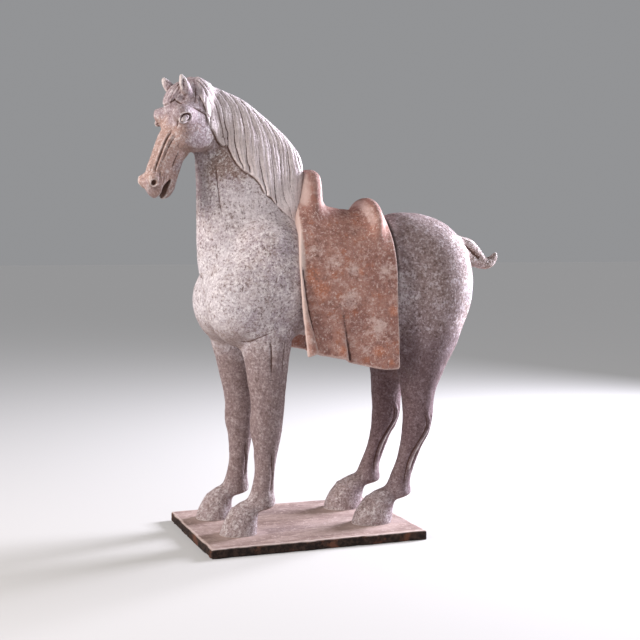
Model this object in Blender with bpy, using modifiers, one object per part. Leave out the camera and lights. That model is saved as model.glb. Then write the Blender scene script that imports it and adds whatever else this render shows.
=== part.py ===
"""Standing pottery horse with a draped saddle, on a slab plinth.

Frame: +Z up, origin at the centre of the plinth's underside, head towards -X, its left side towards -Y.
The horse is modelled as a potter builds one: lumps and limbs of clay are pressed together, their joins are
smoothed into one skin, and the mane, face, tendons and folds are then carved into that skin.
"""

import math

import bmesh
import bpy
import numpy as np

# Driving dimensions, in metres.
TOTAL_HEIGHT = 0.605  # from the plinth's underside to the tips of the ears
PLINTH_LENGTH = 0.294
PLINTH_WIDTH = 0.226
PLINTH_THICKNESS = 0.013
PLINTH_EDGE = 0.0014  # worn edge of the slab
PLINTH_WANDER = 0.0010  # how far the slab's edges wander from straight
FIT_GAP = 0.0003  # between two pieces that touch

# The horse is free form. Its lumps are placed in shares of its height, 592 of them above the plinth.
FOOT_LEVEL = 13.0  # the height in shares at which the hooves stand
SHARE = (TOTAL_HEIGHT - PLINTH_THICKNESS) / 592.0

# Grain of the skins, in shares, and the number of triangles that each is reduced to.
HORSE_GRAIN = 2.4
CLEAN_GRAIN = 1.9  # for the pass that closes the pinched places of the horse's skin
SADDLE_GRAIN = 2.0
HORSE_TRIANGLES = 7300
SADDLE_TRIANGLES = 1900

COLLECTION = "pottery_horse"
CLAY_COLOURS = {
    "horse": ("slip_coated_pottery", (0.52, 0.44, 0.39, 1.0), 0.85),
    "saddle": ("red_painted_pottery", (0.36, 0.17, 0.11, 1.0), 0.88),
    "plinth": ("unglazed_pottery_slab", (0.50, 0.39, 0.33, 1.0), 0.9),
}

# The head turns towards the horse's left about this point of the neck.
POLL_X = -112.0
HEAD_TURN = math.radians(20.0)

HEAD_BASE = 440.0
HEAD_END = -130.0
HEAD_COARSENING = 0.88  # how readily the head's facets are merged, against 1 elsewhere

MIRROR = np.array([1.0, -1.0, 1.0])


# Clay lumps, limbs and strokes.
def lump(centre, radii, lean=0.0):
    """An egg of clay that leans by some degrees about the crosswise axis."""
    return {"centre": np.array(centre, float), "radii": np.array(radii, float), "lean": math.radians(lean)}


def smooth(rows, steps):
    """More rows set between the given ones on a Catmull-Rom curve, so that a limb has no kinks."""
    rows = np.array(rows, float)
    padded = np.vstack([2 * rows[0] - rows[1], rows, 2 * rows[-1] - rows[-2]])
    found = []
    for a, b, c, d in zip(padded, padded[1:], padded[2:], padded[3:]):
        for t in np.arange(steps) / steps:
            bend = (2 * a - 5 * b + 4 * c - d) * t**2 + (3 * b - a - 3 * c + d) * t**3
            found.append(0.5 * (2 * b + (c - a) * t + bend))
    return np.array([*found, rows[-1]])


def limb(*stations, steps=3):
    """A tapering limb. Each station is x, y, z, half its depth, half its width."""
    return {"stations": smooth(stations, steps)}


def moved(form, offset, lean=0.0):
    """The same limb set somewhere else, and leaning forward with height above the knee."""
    rows = form["stations"] + np.array([*offset, 0.0, 0.0])
    rows[:, 0] -= lean * np.maximum(rows[:, 2] - KNEE_LEVEL, 0)
    return {"stations": rows}


def stroke(height, width, *path, steps=3):
    """A ridge, or a groove where the height is negative, along a path on the skin."""
    return {"height": height, "width": width, "path": smooth(path, steps)}


def box_of(form):
    """The corners of the box around a form."""
    if "centre" in form:
        size = np.full(3, form["radii"].max())
        return form["centre"] - size, form["centre"] + size
    rows = form["stations"] if "stations" in form else form["path"]
    size = rows[:, 3:].max() if "stations" in form else 0.0
    return rows[:, :3].min(0) - size, rows[:, :3].max(0) + size


def lump_distance(points, form):
    c, s = math.cos(form["lean"]), math.sin(form["lean"])
    q = points - form["centre"]
    q = np.stack([q[:, 0] * c - q[:, 2] * s, q[:, 1], q[:, 0] * s + q[:, 2] * c], 1) / form["radii"]
    near = np.sqrt((q * q).sum(1))
    slope = np.sqrt(((q / form["radii"]) ** 2).sum(1))
    return near * (near - 1.0) / np.maximum(slope, 1e-9)


def limb_distance(points, form):
    rows = form["stations"]
    best = np.full(len(points), 1e9)
    for a, b in zip(rows, rows[1:]):
        axis = b[:3] - a[:3]
        q = points - a[:3]
        along = np.clip(q @ axis / (axis @ axis), 0, 1)
        q -= along[:, None] * axis
        deep = a[3] + along * (b[3] - a[3])
        ratio = deep / (a[4] + along * (b[4] - a[4]))
        flat = q[:, 0] ** 2 + q[:, 2] ** 2
        across = (q[:, 1] * ratio) ** 2
        size = np.sqrt(flat + across)
        slope = np.sqrt(flat + across * ratio**2) / np.maximum(size, 1e-6)
        best = np.minimum(best, (size - deep) / np.maximum(slope, 0.3))
    return best


def path_distance(points, form):
    best = np.full(len(points), 1e9)
    for a, b in zip(form["path"], form["path"][1:]):
        axis = b - a
        q = points - a
        along = np.clip(q @ axis / (axis @ axis), 0, 1)
        q -= along[:, None] * axis
        best = np.minimum(best, (q * q).sum(1))
    return np.sqrt(best)


def distance(points, form, reach=34.0):
    """How far the points are from a form. Points beyond the reach get the distance to the form's box."""
    lo, hi = box_of(form)
    away = np.maximum(np.maximum(lo - points, points - hi), 0)
    found = np.sqrt((away * away).sum(1))
    close = found < reach
    found[~close] += 2.0
    if close.any():
        kind = lump_distance if "centre" in form else limb_distance if "stations" in form else path_distance
        found[close] = kind(points[close], form)
    return found


def join(a, b, fillet):
    """The smooth union of two distances, with a fillet about that wide."""
    h = np.maximum(fillet - np.abs(a - b), 0) / fillet
    return np.minimum(a, b) - h * h * fillet / 4


def cut(a, b, fillet):
    """The first distance with the second taken out of it."""
    return -join(-a, b, fillet)


def relief(points, strokes):
    """How far the strokes raise the skin at the points."""
    raised = np.zeros(len(points))
    for form in strokes:
        d = distance(points, form, reach=3 * form["width"])
        raised += form["height"] * np.exp(-((d / form["width"]) ** 2))
    return raised


def two_sided(field, points):
    """The field of a form and its mirror image, as the nearer of the two."""
    return np.minimum(field(points), field(points * MIRROR))


def ramp(value, start, end):
    """Zero before the start, one after the end, and smooth between."""
    t = np.clip((value - start) / (end - start), 0, 1)
    return t * t * (3 - 2 * t)


# The trunk and neck.
BARREL = lump((52, 0, 340), (128, 71, 79))
RUMP = lump((180, 0, 336), (79, 70, 92))
CROUP = lump((150, 0, 370), (54, 54, 59))
HAUNCH = lump((180, -32, 298), (52, 40, 84), lean=16)
WITHERS = lump((5, 0, 372), (58, 42, 54))
SHOULDER = lump((-40, -34, 338), (56, 42, 80), lean=-8)
BREAST = lump((-81, -35, 311), (49, 42, 58), lean=-4)
NECK = limb(
    (-52, 0, 335, 74, 50),
    (-60, 0, 375, 73, 42),
    (-63, 0, 425, 71, 35),
    (-68, 0, 468, 66, 30.5),
    (-84, 0, 505, 52, 25.5),
    (-106, 0, 534, 36, 22),
    (-122, 0, 553, 26, 21),
)
CREST = limb(
    (-128, 0, 580, 13, 11),
    (-104, 0, 573, 13, 11),
    (-78, 0, 562, 13, 11),
    (-57, 0, 547, 13, 11),
    (-36, 0, 530, 13, 12),
    (-17, 0, 512, 13, 13),
    (-7, 0, 496, 14, 15),
    (-7, 0, 472, 17, 20),
    (-12, 0, 438, 20, 28),
)

# The legs. The near ones are given, and the far ones stand a little further forward.
FORELEG = limb(
    (-54, -44, 268, 36, 27),
    (-54, -47, 242, 30, 24),
    (-54, -49, 220, 27, 22),
    (-53.5, -50, 194, 23.5, 19.5),
    (-54, -50, 173, 22, 18.5),
    (-56, -50, 150, 21.5, 18.5),
    (-56, -50, 126, 17, 15.5),
    (-57.5, -50, 102, 14, 13),
    (-59, -50, 84, 13.5, 12.5),
    (-61, -50, 68, 15, 14),
    (-63, -50, 55, 17, 15),
)
FORE_HOOF = limb(
    (-62, -50, 53, 16, 14),
    (-74, -50, 45, 14.5, 14),
    (-83, -50, 39, 17, 17),
    (-89, -50, 28, 22, 19),
    (-93.5, -50, 14, 24.5, 21),
    (-95, -50, 4, 25, 22),
)
HINDLEG = limb(
    (179, -38, 262, 41, 32),
    (166, -45, 225, 34, 27),
    (162, -48, 204, 27, 23),
    (159.5, -50, 178, 22.5, 19),
    (159.5, -50, 155, 21, 17.5),
    (157, -50, 138, 19.5, 16.5),
    (151.5, -50, 122, 15.5, 15),
    (144, -50, 99, 13, 13),
    (136.5, -50, 79, 13, 13),
    (132.5, -50, 66, 14.5, 14.5),
    (130.5, -50, 56, 16, 15.5),
)
HIND_HOOF = limb(
    (131, -50, 54, 15, 15),
    (119, -50, 47, 15, 15),
    (106, -50, 40, 18, 18),
    (98, -50, 28, 24, 20),
    (92, -50, 14, 27, 22),
    (91, -50, 4, 27, 22),
)
KNEE_LEVEL = 165.0
FAR_FORE_STEP = (-6.0, 0.0, 1.0)
FAR_FORE_LEAN = 0.10
FAR_HIND_STEP = (-3.0, 0.0, 1.0)
LEGS = ((FORELEG, FORE_HOOF, FAR_FORE_STEP, FAR_FORE_LEAN), (HINDLEG, HIND_HOOF, FAR_HIND_STEP, 0.0))

TAIL = limb(
    (238, 0, 379, 20, 17),
    (256, 0, 378, 18, 14),
    (270, 0, 368, 13.5, 11),
    (281, 0, 361, 9.5, 9),
    (291, 0, 360, 8, 8),
    (299, 0, 366, 6.5, 6.5),
    (303, 0, 373, 4, 4),
)

# The head, before it is turned.
SKULL = limb(
    (-136, 0, 577, 20, 18),
    (-145, 0, 562, 27, 23),
    (-152, 0, 542, 28, 24),
    (-166, 0, 522, 24, 20),
    (-177.5, 0, 505, 21.5, 16),
    (-184, 0, 490, 21.5, 14),
    (-190, 0, 476, 22, 13.5),
    (-193.5, 0, 465, 21.5, 14.5),
)
CHEEK = lump((-148, -16.5, 529), (31, 11, 25), lean=-12)
BROW = lump((-172, -21.5, 551), (14, 11, 11))
EYEBALL = lump((-175, -28.5, 545.5), (7.6, 4.6, 5.2), lean=-30)
NOSTRIL = lump((-208, -11.5, 467), (8.5, 7.0, 8.5))
NOSTRIL_HOLE = lump((-211.5, -15.5, 463), (4.6, 5.6, 5.2))
FORELOCK = limb(
    (-146, 0, 590, 9, 12),
    (-166, 0, 579, 10, 13),
    (-175, 0, 567, 9.5, 11),
    (-177, 0, 557, 7, 8),
)
EAR = limb(
    (-162, -16, 574, 8.5, 6.5),
    (-165, -17, 583, 7.8, 5.5),
    (-169, -18.5, 591, 6, 4.5),
    (-173.5, -20, 598, 2.2, 2),
)
EAR_HOLLOW = limb((-170.5, -24, 594, 2.2, 2.4), (-171, -24, 587, 3.6, 3.6), (-169, -22, 580, 3.0, 3.0))
MOUTH = limb((-184, 0, 472, 2.5, 40), (-190, 0, 461, 3.5, 40), (-195, 0, 446, 4, 40), (-197, 0, 436, 5, 40))
MOUTH_CORNER = lump((-189, -15, 461), (6.5, 7, 12), lean=28)

# The mane's lower edge along the neck, x and height, and the cuts that part its locks, from the crest down.
MANE_EDGE = smooth(
    [
        (-140, 578, 0),
        (-131, 562, 0),
        (-127, 542, 0),
        (-112, 519, 0),
        (-99, 512, 0),
        (-82, 484, 0),
        (-64, 472, 0),
        (-50, 451, 0),
        (-35, 438, 0),
        (-5, 412, 0),
    ],
    2,
)
MANE_RAISE = 2.8
LOCK_DEPTH = 2.2
CUT_WIDTH = 1.9
PARTINGS = [
    [(-143, 604), (-128, 586), (-116, 568), (-107, 538), (-101, 512), (-99, 400)],
    [(-130, 600), (-115, 581), (-103, 549), (-98, 517), (-95, 400)],
    [(-114, 596), (-99, 573), (-91, 546), (-87, 509), (-79, 480), (-77, 400)],
    [(-100, 590), (-84, 569), (-77, 549), (-74, 494), (-69, 400)],
    [(-86, 580), (-72, 566), (-61, 538), (-57, 492), (-50, 453), (-47, 400)],
    [(-72, 570), (-58, 556), (-42, 526), (-38, 477), (-34, 438), (-31, 400)],
    [(-56, 560), (-42, 545), (-28.5, 517), (-28, 469), (-14, 428), (-10, 400)],
    [(-42, 548), (-28, 534), (-15, 500), (-14, 460), (-4, 400)],
]
PARTING_CURVES = [smooth([(z, x) for x, z in rows][::-1], 3) for rows in PARTINGS]

TRUNK_STROKES = [
    stroke(-4.0, 5.0, (-112, 0, 345), (-114, 0, 312), (-106, 0, 280)),
    stroke(-1.6, 3.0, (-109, -31, 505), (-109, -36, 470), (-109, -38, 430), (-108, -40, 405)),
    stroke(-1.8, 3.0, (-74, -64, 262), (-74, -68, 246), (-68, -69, 222)),
    stroke(-1.8, 3.0, (-57, -70, 256), (-57, -70, 236), (-57, -66, 214)),
    stroke(-1.8, 3.0, (-41, -66, 256), (-44, -67, 236), (-48, -66, 216)),
]
LEG_STROKES = [
    stroke(-1.6, 2.6, (-38, -58, 150), (-44, -58, 120), (-47, -58, 92), (-50, -60, 70)),
    stroke(-2.0, 2.6, (176, -60, 162), (168, -61, 138), (158, -60, 112), (148, -60, 86), (143, -60, 70)),
    stroke(1.2, 4.0, (-106, -50, 47), (-100, -34, 45), (-84, -31, 42)),
    stroke(1.2, 4.0, (-106, -50, 47), (-100, -66, 45), (-84, -69, 42)),
    stroke(1.2, 4.0, (84, -50, 50), (90, -32, 46), (106, -31, 43)),
    stroke(1.2, 4.0, (84, -50, 50), (90, -68, 46), (106, -69, 43)),
]
HEAD_STROKES = [
    stroke(1.9, 2.0, (-193, -16, 533), (-198, -14, 518), (-202, -12, 504), (-212, -11, 474)),
    stroke(-1.8, 1.9, (-190, -18, 533), (-195, -16, 518), (-199, -14, 504), (-209, -13, 475)),
    stroke(1.9, 2.0, (-187, -21, 531), (-192, -18, 518), (-197, -16, 504), (-207, -14, 477)),
    stroke(-1.8, 2.0, (-174, -18, 505), (-178, -16, 496), (-184, -14, 479)),
    stroke(-1.4, 2.2, (-176, -22, 504), (-162, -24, 502), (-133, -24, 508), (-124, -24, 518)),
    stroke(1.5, 2.4, (-193, -15, 552), (-189, -21, 556), (-180, -27, 559), (-155, -27, 554)),
    stroke(-1.6, 1.9, (-184, -28, 540), (-188, -24, 535), (-191, -20, 531)),
    stroke(1.5, 2.0, (-183, -15, 474), (-178, -14, 463), (-182, -13, 451)),
]


def laid(strokes, field, rounds=6, step=0.4):
    """The same strokes, with their paths brought down onto the skin of a field."""
    found = []
    for form in strokes:
        path = form["path"].copy()
        for _ in range(rounds):
            d = field(path)
            slope = np.stack([(field(path + step * axis) - d) / step for axis in np.eye(3)], 1)
            size = np.maximum((slope * slope).sum(1), 0.1)
            path -= slope * (d / size)[:, None]
        found.append({**form, "path": path})
    return found


def mane_raise(points):
    """How far the mane stands up from the neck, with its locks parted by grooves."""
    x, side, z = points[:, 0], np.abs(points[:, 1]), points[:, 2]
    edge = np.interp(x, MANE_EDGE[:, 0], MANE_EDGE[:, 1])
    inside = ramp(z - edge, -1.0, 5.0) * ramp(x, -142, -134) * ramp(26 - x, 0, 8) * ramp(z, 396, 430)
    cuts = np.stack([np.interp(z, curve[:, 0], curve[:, 1]) for curve in PARTING_CURVES])
    gap = np.abs(x - cuts).min(0)
    groove = np.exp(-((gap / CUT_WIDTH) ** 2)) * ramp(side, 2, 12)
    return inside * (MANE_RAISE - LOCK_DEPTH * groove)


def trunk_distance(points):
    """The neck, chest, barrel and rump as one skin."""
    d = join(distance(points, BARREL), distance(points, RUMP), 30)
    d = join(d, distance(points, CROUP), 18)
    d = join(d, distance(points, WITHERS), 30)
    d = join(d, two_sided(lambda p: distance(p, HAUNCH), points), 25)
    shoulders = two_sided(lambda p: distance(p, SHOULDER), points)
    breasts = two_sided(lambda p: distance(p, BREAST), points)
    d = join(d, join(shoulders, breasts, 22), 16)
    d = join(d, distance(points, NECK), 14)
    return join(d, distance(points, CREST), 14)


def one_leg(points, leg, hoof, offset, lean):
    return join(distance(points, moved(leg, offset, lean)), distance(points, moved(hoof, offset)), 5)


def near_legs(points):
    """The near legs, before they are carved."""
    return np.minimum(*[one_leg(points, leg, hoof, (0.0, 0.0, 0.0), 0.0) for leg, hoof, _, _ in LEGS])


def leg_distance(points):
    """All four legs with their hooves. The near pair is given and the far pair is its mirror image, moved."""
    found = []
    for side in (1, -1):
        q = points if side == 1 else points * MIRROR
        for leg, hoof, step, far_lean in LEGS:
            offset, lean = ((0.0, 0.0, 0.0), 0.0) if side == 1 else (step, far_lean)
            found.append(one_leg(q, leg, hoof, offset, lean) - relief(q - np.array(offset), LEG_CARVING))
    fore = np.minimum(found[0], found[2])
    hind = np.minimum(found[1], found[3])
    return fore, hind


def bare_head(near):
    """The head before its carving and its turn. The points are all on its near side."""
    d = join(distance(near, SKULL), join(distance(near, CHEEK), distance(near, NOSTRIL), 4), 6)
    d = join(d, distance(near, BROW), 12)
    return join(d, distance(near, FORELOCK), 7)


def head_distance(points):
    """The head, carved and turned. Its field is worked out before the turn."""
    c, s = math.cos(HEAD_TURN), math.sin(HEAD_TURN)
    x, y = points[:, 0] - POLL_X, points[:, 1]
    near = np.stack([POLL_X + x * c + y * s, -np.abs(y * c - x * s), points[:, 2]], 1)
    d = bare_head(near) - relief(near, HEAD_CARVING)
    d = join(d, distance(near, EAR), 4)
    d = cut(d, distance(near, EAR_HOLLOW), 2)
    d = cut(d, distance(near, NOSTRIL_HOLE), 2)
    d = cut(d, distance(near, MOUTH_CORNER), 3)
    d = cut(d, distance(near, MOUTH), 2)
    return join(d, distance(near, EYEBALL), 1)


TRUNK_CARVING = laid(TRUNK_STROKES, lambda points: np.minimum(trunk_distance(points), near_legs(points)))
LEG_CARVING = laid(LEG_STROKES, near_legs)
HEAD_CARVING = laid(HEAD_STROKES, bare_head)


def horse_distance(points):
    """The whole horse as one skin that is cut flat where the hooves stand."""
    near = points.copy()
    near[:, 1] = -np.abs(near[:, 1])
    d = trunk_distance(points) - mane_raise(points)
    fore, hind = leg_distance(points)
    d = join(join(d, fore, 6), hind, 16) - relief(near, TRUNK_CARVING)
    d = join(d, distance(points, TAIL), 10)
    d = join(d, head_distance(points), 8)
    return np.maximum(d, FOOT_LEVEL - points[:, 2])


# The saddle and its cloth.
CLOTH_HALF_WIDTH = 78.0
CLOTH_THICKNESS = 6.0
CLOTH_SPRING = 334.0  # the height above which the cloth bends over the back
SEAT_TOP = smooth([(-20, 441, 0), (36, 439, 0), (64, 435, 0), (95, 433, 0), (122, 430, 0)], 2)
POMMEL = limb((15, 0, 432, 19, 46), (17, 0, 450, 17.5, 37), (19.5, 0, 464, 15, 28), (21.5, 0, 474, 13, 19))
CANTLE = lump((98, 0, 404), (19, 64, 47), lean=6)
BAND = limb((-17, -75, 372, 3, 3), (-14, -76, 330, 4.5, 4), (-9, -76.5, 290, 6.5, 4.5), (-2, -77, 254, 8, 5))
FRONT_EDGE = smooth(
    [(230, 9, 0), (262, 0, 0), (300, -9, 0), (345, -17, 0), (385, -18, 0), (445, -3, 0), (490, 14, 0)], 2
)
REAR_EDGE = smooth([(225, 122, 0), (280, 120, 0), (330, 118, 0), (440, 118, 0)], 2)
HEM = smooth(
    [(-10, 247, 0), (26, 241, 0), (44, 237, 0), (50, 233, 0), (80, 226, 0), (100, 222, 0), (125, 222, 0)], 2
)


def cloth_folds(points):
    """How far the folds push the hanging cloth out."""
    x, z = points[:, 0], points[:, 2]
    line = 39 + (296 - z) * 0.16
    behind = ramp(x - line, -1.5, 1.5)
    fold = ramp(x - line, -34, -2) * (1 - behind)
    drop = ramp(320 - z, 0, 80)
    return drop * (4.0 * fold - 1.0 * np.exp(-(((x - line - 3) / 3.0) ** 2))) + 1.2 * drop * np.sin(x / 13.0)


def saddle_distance(points):
    """The saddle: a sheet over the back, thick on top, with a pommel, a cantle and a rolled band in front."""
    x, z = points[:, 0], points[:, 2]
    side = np.abs(points[:, 1])
    half_width = CLOTH_HALF_WIDTH + cloth_folds(points)
    height = np.interp(x, SEAT_TOP[:, 0], SEAT_TOP[:, 1]) - CLOTH_SPRING
    rise = np.maximum(z - CLOTH_SPRING, 0) / height
    q = side / half_width
    near = np.sqrt(q * q + rise * rise)
    slope = np.sqrt((q / half_width) ** 2 + (rise / height) ** 2) / np.maximum(near, 1e-6)
    outer = np.where(z < CLOTH_SPRING, side - half_width, (near - 1) / np.maximum(slope, 1e-3))
    thickness = CLOTH_THICKNESS + 30 * ramp(z, 345, 400)
    d = -join(-outer, outer + thickness, 1.5)
    d = join(d, distance(points, POMMEL), 16)
    d = join(d, distance(points, CANTLE), 10)
    front = np.interp(z, FRONT_EDGE[:, 0], FRONT_EDGE[:, 1]) - x
    rear = x - np.interp(z, REAR_EDGE[:, 0], REAR_EDGE[:, 1])
    hem = np.interp(x, HEM[:, 0], HEM[:, 1]) - z
    edge = -join(-np.maximum(front, rear), -hem, 5)
    d = -join(-d, -edge, 1.8)
    near_side = np.stack([x, -side, z], 1)
    return join(d, distance(near_side, BAND), 1.5)


# Turning a field into a skin.
def sampled(field, corner, counts, grain):
    """The field on a grid. Blocks far from the skin take the coarse value, which skips most points."""
    block = 4
    coarse_counts = [count // block + 2 for count in counts]
    axes = [corner[k] + np.arange(coarse_counts[k]) * grain * block for k in range(3)]
    coarse = field(np.stack(np.meshgrid(*axes, indexing="ij"), -1).reshape(-1, 3)).reshape(coarse_counts)
    index = [np.arange(count) for count in counts]
    nearest = [np.minimum((i + block // 2) // block, coarse_counts[k] - 1) for k, i in enumerate(index)]
    value = coarse[np.ix_(*nearest)]
    close = np.argwhere(np.abs(value) < grain * block * 2.2)
    found = field(corner + close * grain)
    value[tuple(close.T)] = found
    return value


def skin(field, lo, hi, grain):
    """Vertices and quads of the field's zero surface: one vertex in each cell that it passes through."""
    corner = np.array(lo, float)
    counts = [int((h - l) / grain) + 2 for l, h in zip(lo, hi)]
    value = sampled(field, corner, counts, grain)
    inside = value < 0
    total = np.zeros((*counts, 3))
    share = np.zeros(counts)
    crossings = []
    for axis in range(3):
        first = [slice(None)] * 3
        second = [slice(None)] * 3
        first[axis], second[axis] = slice(0, -1), slice(1, None)
        found = np.argwhere(inside[tuple(first)] != inside[tuple(second)])
        ends = found.copy()
        ends[:, axis] += 1
        a, b = value[tuple(found.T)], value[tuple(ends.T)]
        place = found.astype(float)
        place[:, axis] += a / (a - b)
        others = [k for k in range(3) if k != axis]
        around = []
        for u, v in ((0, 0), (-1, 0), (-1, -1), (0, -1)):
            cell = found.copy()
            cell[:, others[0]] += u
            cell[:, others[1]] += v
            np.add.at(total, tuple(cell.T), place)
            np.add.at(share, tuple(cell.T), 1)
            around.append(cell)
        leaving = inside[tuple(found.T)]
        flip = leaving if axis != 1 else ~leaving
        crossings.append((around, flip))
    used = share > 0
    number = np.full(counts, -1)
    number[used] = np.arange(used.sum())
    vertices = corner + total[used] / share[used][:, None] * grain
    quads = []
    for around, flip in crossings:
        ring = np.stack([number[tuple(cell.T)] for cell in around], 1)
        ring[~flip] = ring[~flip][:, ::-1]
        quads.append(ring)
    return vertices, np.vstack(quads)


def placed(points):
    """From shares to metres, standing on the plinth."""
    points = points * SHARE
    points[:, 2] += PLINTH_THICKNESS + FIT_GAP - FOOT_LEVEL * SHARE
    return points


def mesh_object(name, vertices, faces, collection):
    mesh = bpy.data.meshes.new(name)
    mesh.from_pydata(vertices.tolist(), [], [list(face) for face in faces])
    mesh.validate()
    obj = bpy.data.objects.new(name, mesh)
    collection.objects.link(obj)
    return obj


def applied(obj, kind, **settings):
    """Adds a modifier, applies it and leaves its result as the object's mesh."""
    modifier = obj.modifiers.new(kind.lower(), kind)
    for name, value in settings.items():
        setattr(modifier, name, value)
    graph = bpy.context.evaluated_depsgraph_get()
    mesh = bpy.data.meshes.new_from_object(obj.evaluated_get(graph))
    obj.modifiers.clear()
    old, obj.data = obj.data, mesh
    bpy.data.meshes.remove(old)


def triangles(obj):
    return sum(len(p.vertices) - 2 for p in obj.data.polygons)


def coat(obj):
    """The piece's own plain material."""
    name, colour, roughness = CLAY_COLOURS[obj.name]
    material = bpy.data.materials.new(name)
    material.use_nodes = True
    shader = material.node_tree.nodes["Principled BSDF"]
    shader.inputs["Base Color"].default_value = colour
    shader.inputs["Roughness"].default_value = roughness
    obj.data.materials.clear()
    obj.data.materials.append(material)


def make_horse(collection):
    vertices, quads = skin(horse_distance, (-236, -90, 5), (316, 92, 616), HORSE_GRAIN)
    obj = mesh_object("horse", placed(vertices), quads, collection)
    applied(obj, "REMESH", mode="VOXEL", voxel_size=CLEAN_GRAIN * SHARE)
    plain = obj.vertex_groups.new(name="plain")
    on_head = np.array([v.co.x < HEAD_END * SHARE and v.co.z > HEAD_BASE * SHARE for v in obj.data.vertices])
    plain.add(np.flatnonzero(~on_head).tolist(), 1.0, "REPLACE")
    plain.add(np.flatnonzero(on_head).tolist(), HEAD_COARSENING, "REPLACE")
    applied(obj, "DECIMATE", ratio=HORSE_TRIANGLES / triangles(obj), vertex_group="plain")
    obj.vertex_groups.clear()
    return obj


def swollen(obj, amount, collection):
    """A copy of the object whose skin stands further out, to cut a fitted gap with."""
    copy = bpy.data.objects.new("fit_cutter", obj.data.copy())
    collection.objects.link(copy)
    mesh = bmesh.new()
    mesh.from_mesh(copy.data)
    for vertex in mesh.verts:
        vertex.co += vertex.normal * amount * vertex.calc_shell_factor()
    mesh.to_mesh(copy.data)
    mesh.free()
    copy.hide_render = True
    copy.display_type = "WIRE"
    return copy


def make_saddle(collection, helpers, horse):
    vertices, quads = skin(saddle_distance, (-40, -96, 208), (138, 97, 500), SADDLE_GRAIN)
    obj = mesh_object("saddle", placed(vertices), quads, collection)
    applied(obj, "DECIMATE", ratio=SADDLE_TRIANGLES / triangles(obj))
    cutter = swollen(horse, FIT_GAP, helpers)
    applied(obj, "BOOLEAN", operation="DIFFERENCE", solver="EXACT", object=cutter)
    keep_largest(obj)
    return obj


def keep_largest(obj):
    """Leaves only the largest shell of the object."""
    mesh = bmesh.new()
    mesh.from_mesh(obj.data)
    mesh.verts.ensure_lookup_table()
    shells = []
    seen = set()
    for start in mesh.verts:
        if start in seen:
            continue
        shell = {start}
        queue = [start]
        while queue:
            vertex = queue.pop()
            for edge in vertex.link_edges:
                other = edge.other_vert(vertex)
                if other not in shell:
                    shell.add(other)
                    queue.append(other)
        seen |= shell
        shells.append(shell)
    shells.sort(key=len)
    spare = [vertex for shell in shells[:-1] for vertex in shell]
    bmesh.ops.delete(mesh, geom=spare, context="VERTS")
    mesh.to_mesh(obj.data)
    mesh.free()


def make_plinth(collection):
    """The slab, with worn edges that wander a little from straight."""
    x, y, top = PLINTH_LENGTH / 2, PLINTH_WIDTH / 2, PLINTH_THICKNESS
    steps = (9, 7)
    ring = [(-x + 2 * x * i / steps[0], -y) for i in range(steps[0])]
    ring += [(x, -y + 2 * y * i / steps[1]) for i in range(steps[1])]
    ring += [(x - 2 * x * i / steps[0], y) for i in range(steps[0])]
    ring += [(-x, y - 2 * y * i / steps[1]) for i in range(steps[1])]
    shoulder = top - 1.6 * PLINTH_EDGE
    levels = ((0.0, PLINTH_EDGE), (PLINTH_EDGE, 0.0), (shoulder, 0.2 * PLINTH_EDGE), (top, 2 * PLINTH_EDGE))
    vertices = []
    for height, inset in levels:
        for k, (a, b) in enumerate(ring):
            wander = PLINTH_WANDER * (0.5 + 0.5 * math.sin(2.3 * k) * math.cos(1.1 * k + 40 * height))
            inward = inset + wander
            vertices.append((a * (1 - inward / x), b * (1 - inward / y), height))
    count = len(ring)
    faces = [list(range(count))[::-1], [count * (len(levels) - 1) + k for k in range(count)]]
    for level in range(len(levels) - 1):
        for k in range(count):
            after = (k + 1) % count
            low = count * level
            faces.append([low + k, low + after, low + count + after, low + count + k])
    return mesh_object("plinth", np.array(vertices), faces, collection)


def main():
    for obj in list(bpy.data.objects):
        bpy.data.objects.remove(obj)
    collection = bpy.data.collections.new(COLLECTION)
    helpers = bpy.data.collections.new("helpers")
    bpy.context.scene.collection.children.link(collection)
    bpy.context.scene.collection.children.link(helpers)
    horse = make_horse(collection)
    saddle = make_saddle(collection, helpers, horse)
    plinth = make_plinth(collection)
    for obj in (horse, saddle, plinth):
        coat(obj)


main()
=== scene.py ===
# %% [markdown]
# A pottery horse, about 60 cm tall, stands on a slab with a saddle and a long cloth over its back.
# The real one is earthenware. It was pressed in moulds, joined with slip, carved while leather hard, coated with
# pale slip, fired, painted in parts with earth colours, and then buried for centuries.
# The lesson follows the same order: the clay form first, then the carving, then the colours and the wear.

import math

import bmesh
import bpy
import numpy as np
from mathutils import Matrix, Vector


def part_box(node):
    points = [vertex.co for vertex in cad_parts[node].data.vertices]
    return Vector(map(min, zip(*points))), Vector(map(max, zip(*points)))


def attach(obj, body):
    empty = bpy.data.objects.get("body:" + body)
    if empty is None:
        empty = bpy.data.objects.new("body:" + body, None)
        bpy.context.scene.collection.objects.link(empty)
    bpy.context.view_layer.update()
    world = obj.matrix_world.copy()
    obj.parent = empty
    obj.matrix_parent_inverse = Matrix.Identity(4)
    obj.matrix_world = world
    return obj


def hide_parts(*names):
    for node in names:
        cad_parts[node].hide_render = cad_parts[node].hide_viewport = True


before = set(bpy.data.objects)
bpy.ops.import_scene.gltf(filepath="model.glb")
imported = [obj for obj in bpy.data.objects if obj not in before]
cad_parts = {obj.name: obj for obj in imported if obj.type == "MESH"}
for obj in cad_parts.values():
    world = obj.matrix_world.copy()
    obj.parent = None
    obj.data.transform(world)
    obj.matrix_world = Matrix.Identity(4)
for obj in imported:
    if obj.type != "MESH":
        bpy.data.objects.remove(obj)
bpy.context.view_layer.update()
MM = 0.001

# %% [markdown]
# The camera comes first, because every later choice is judged through it.
# It was worked out from the four corners of the slab: the horse is seen a little from its front, at the height
# of its back. A 67.5 mm lens keeps the near hooves only a little larger than the far ones, as in the photograph.

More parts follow.
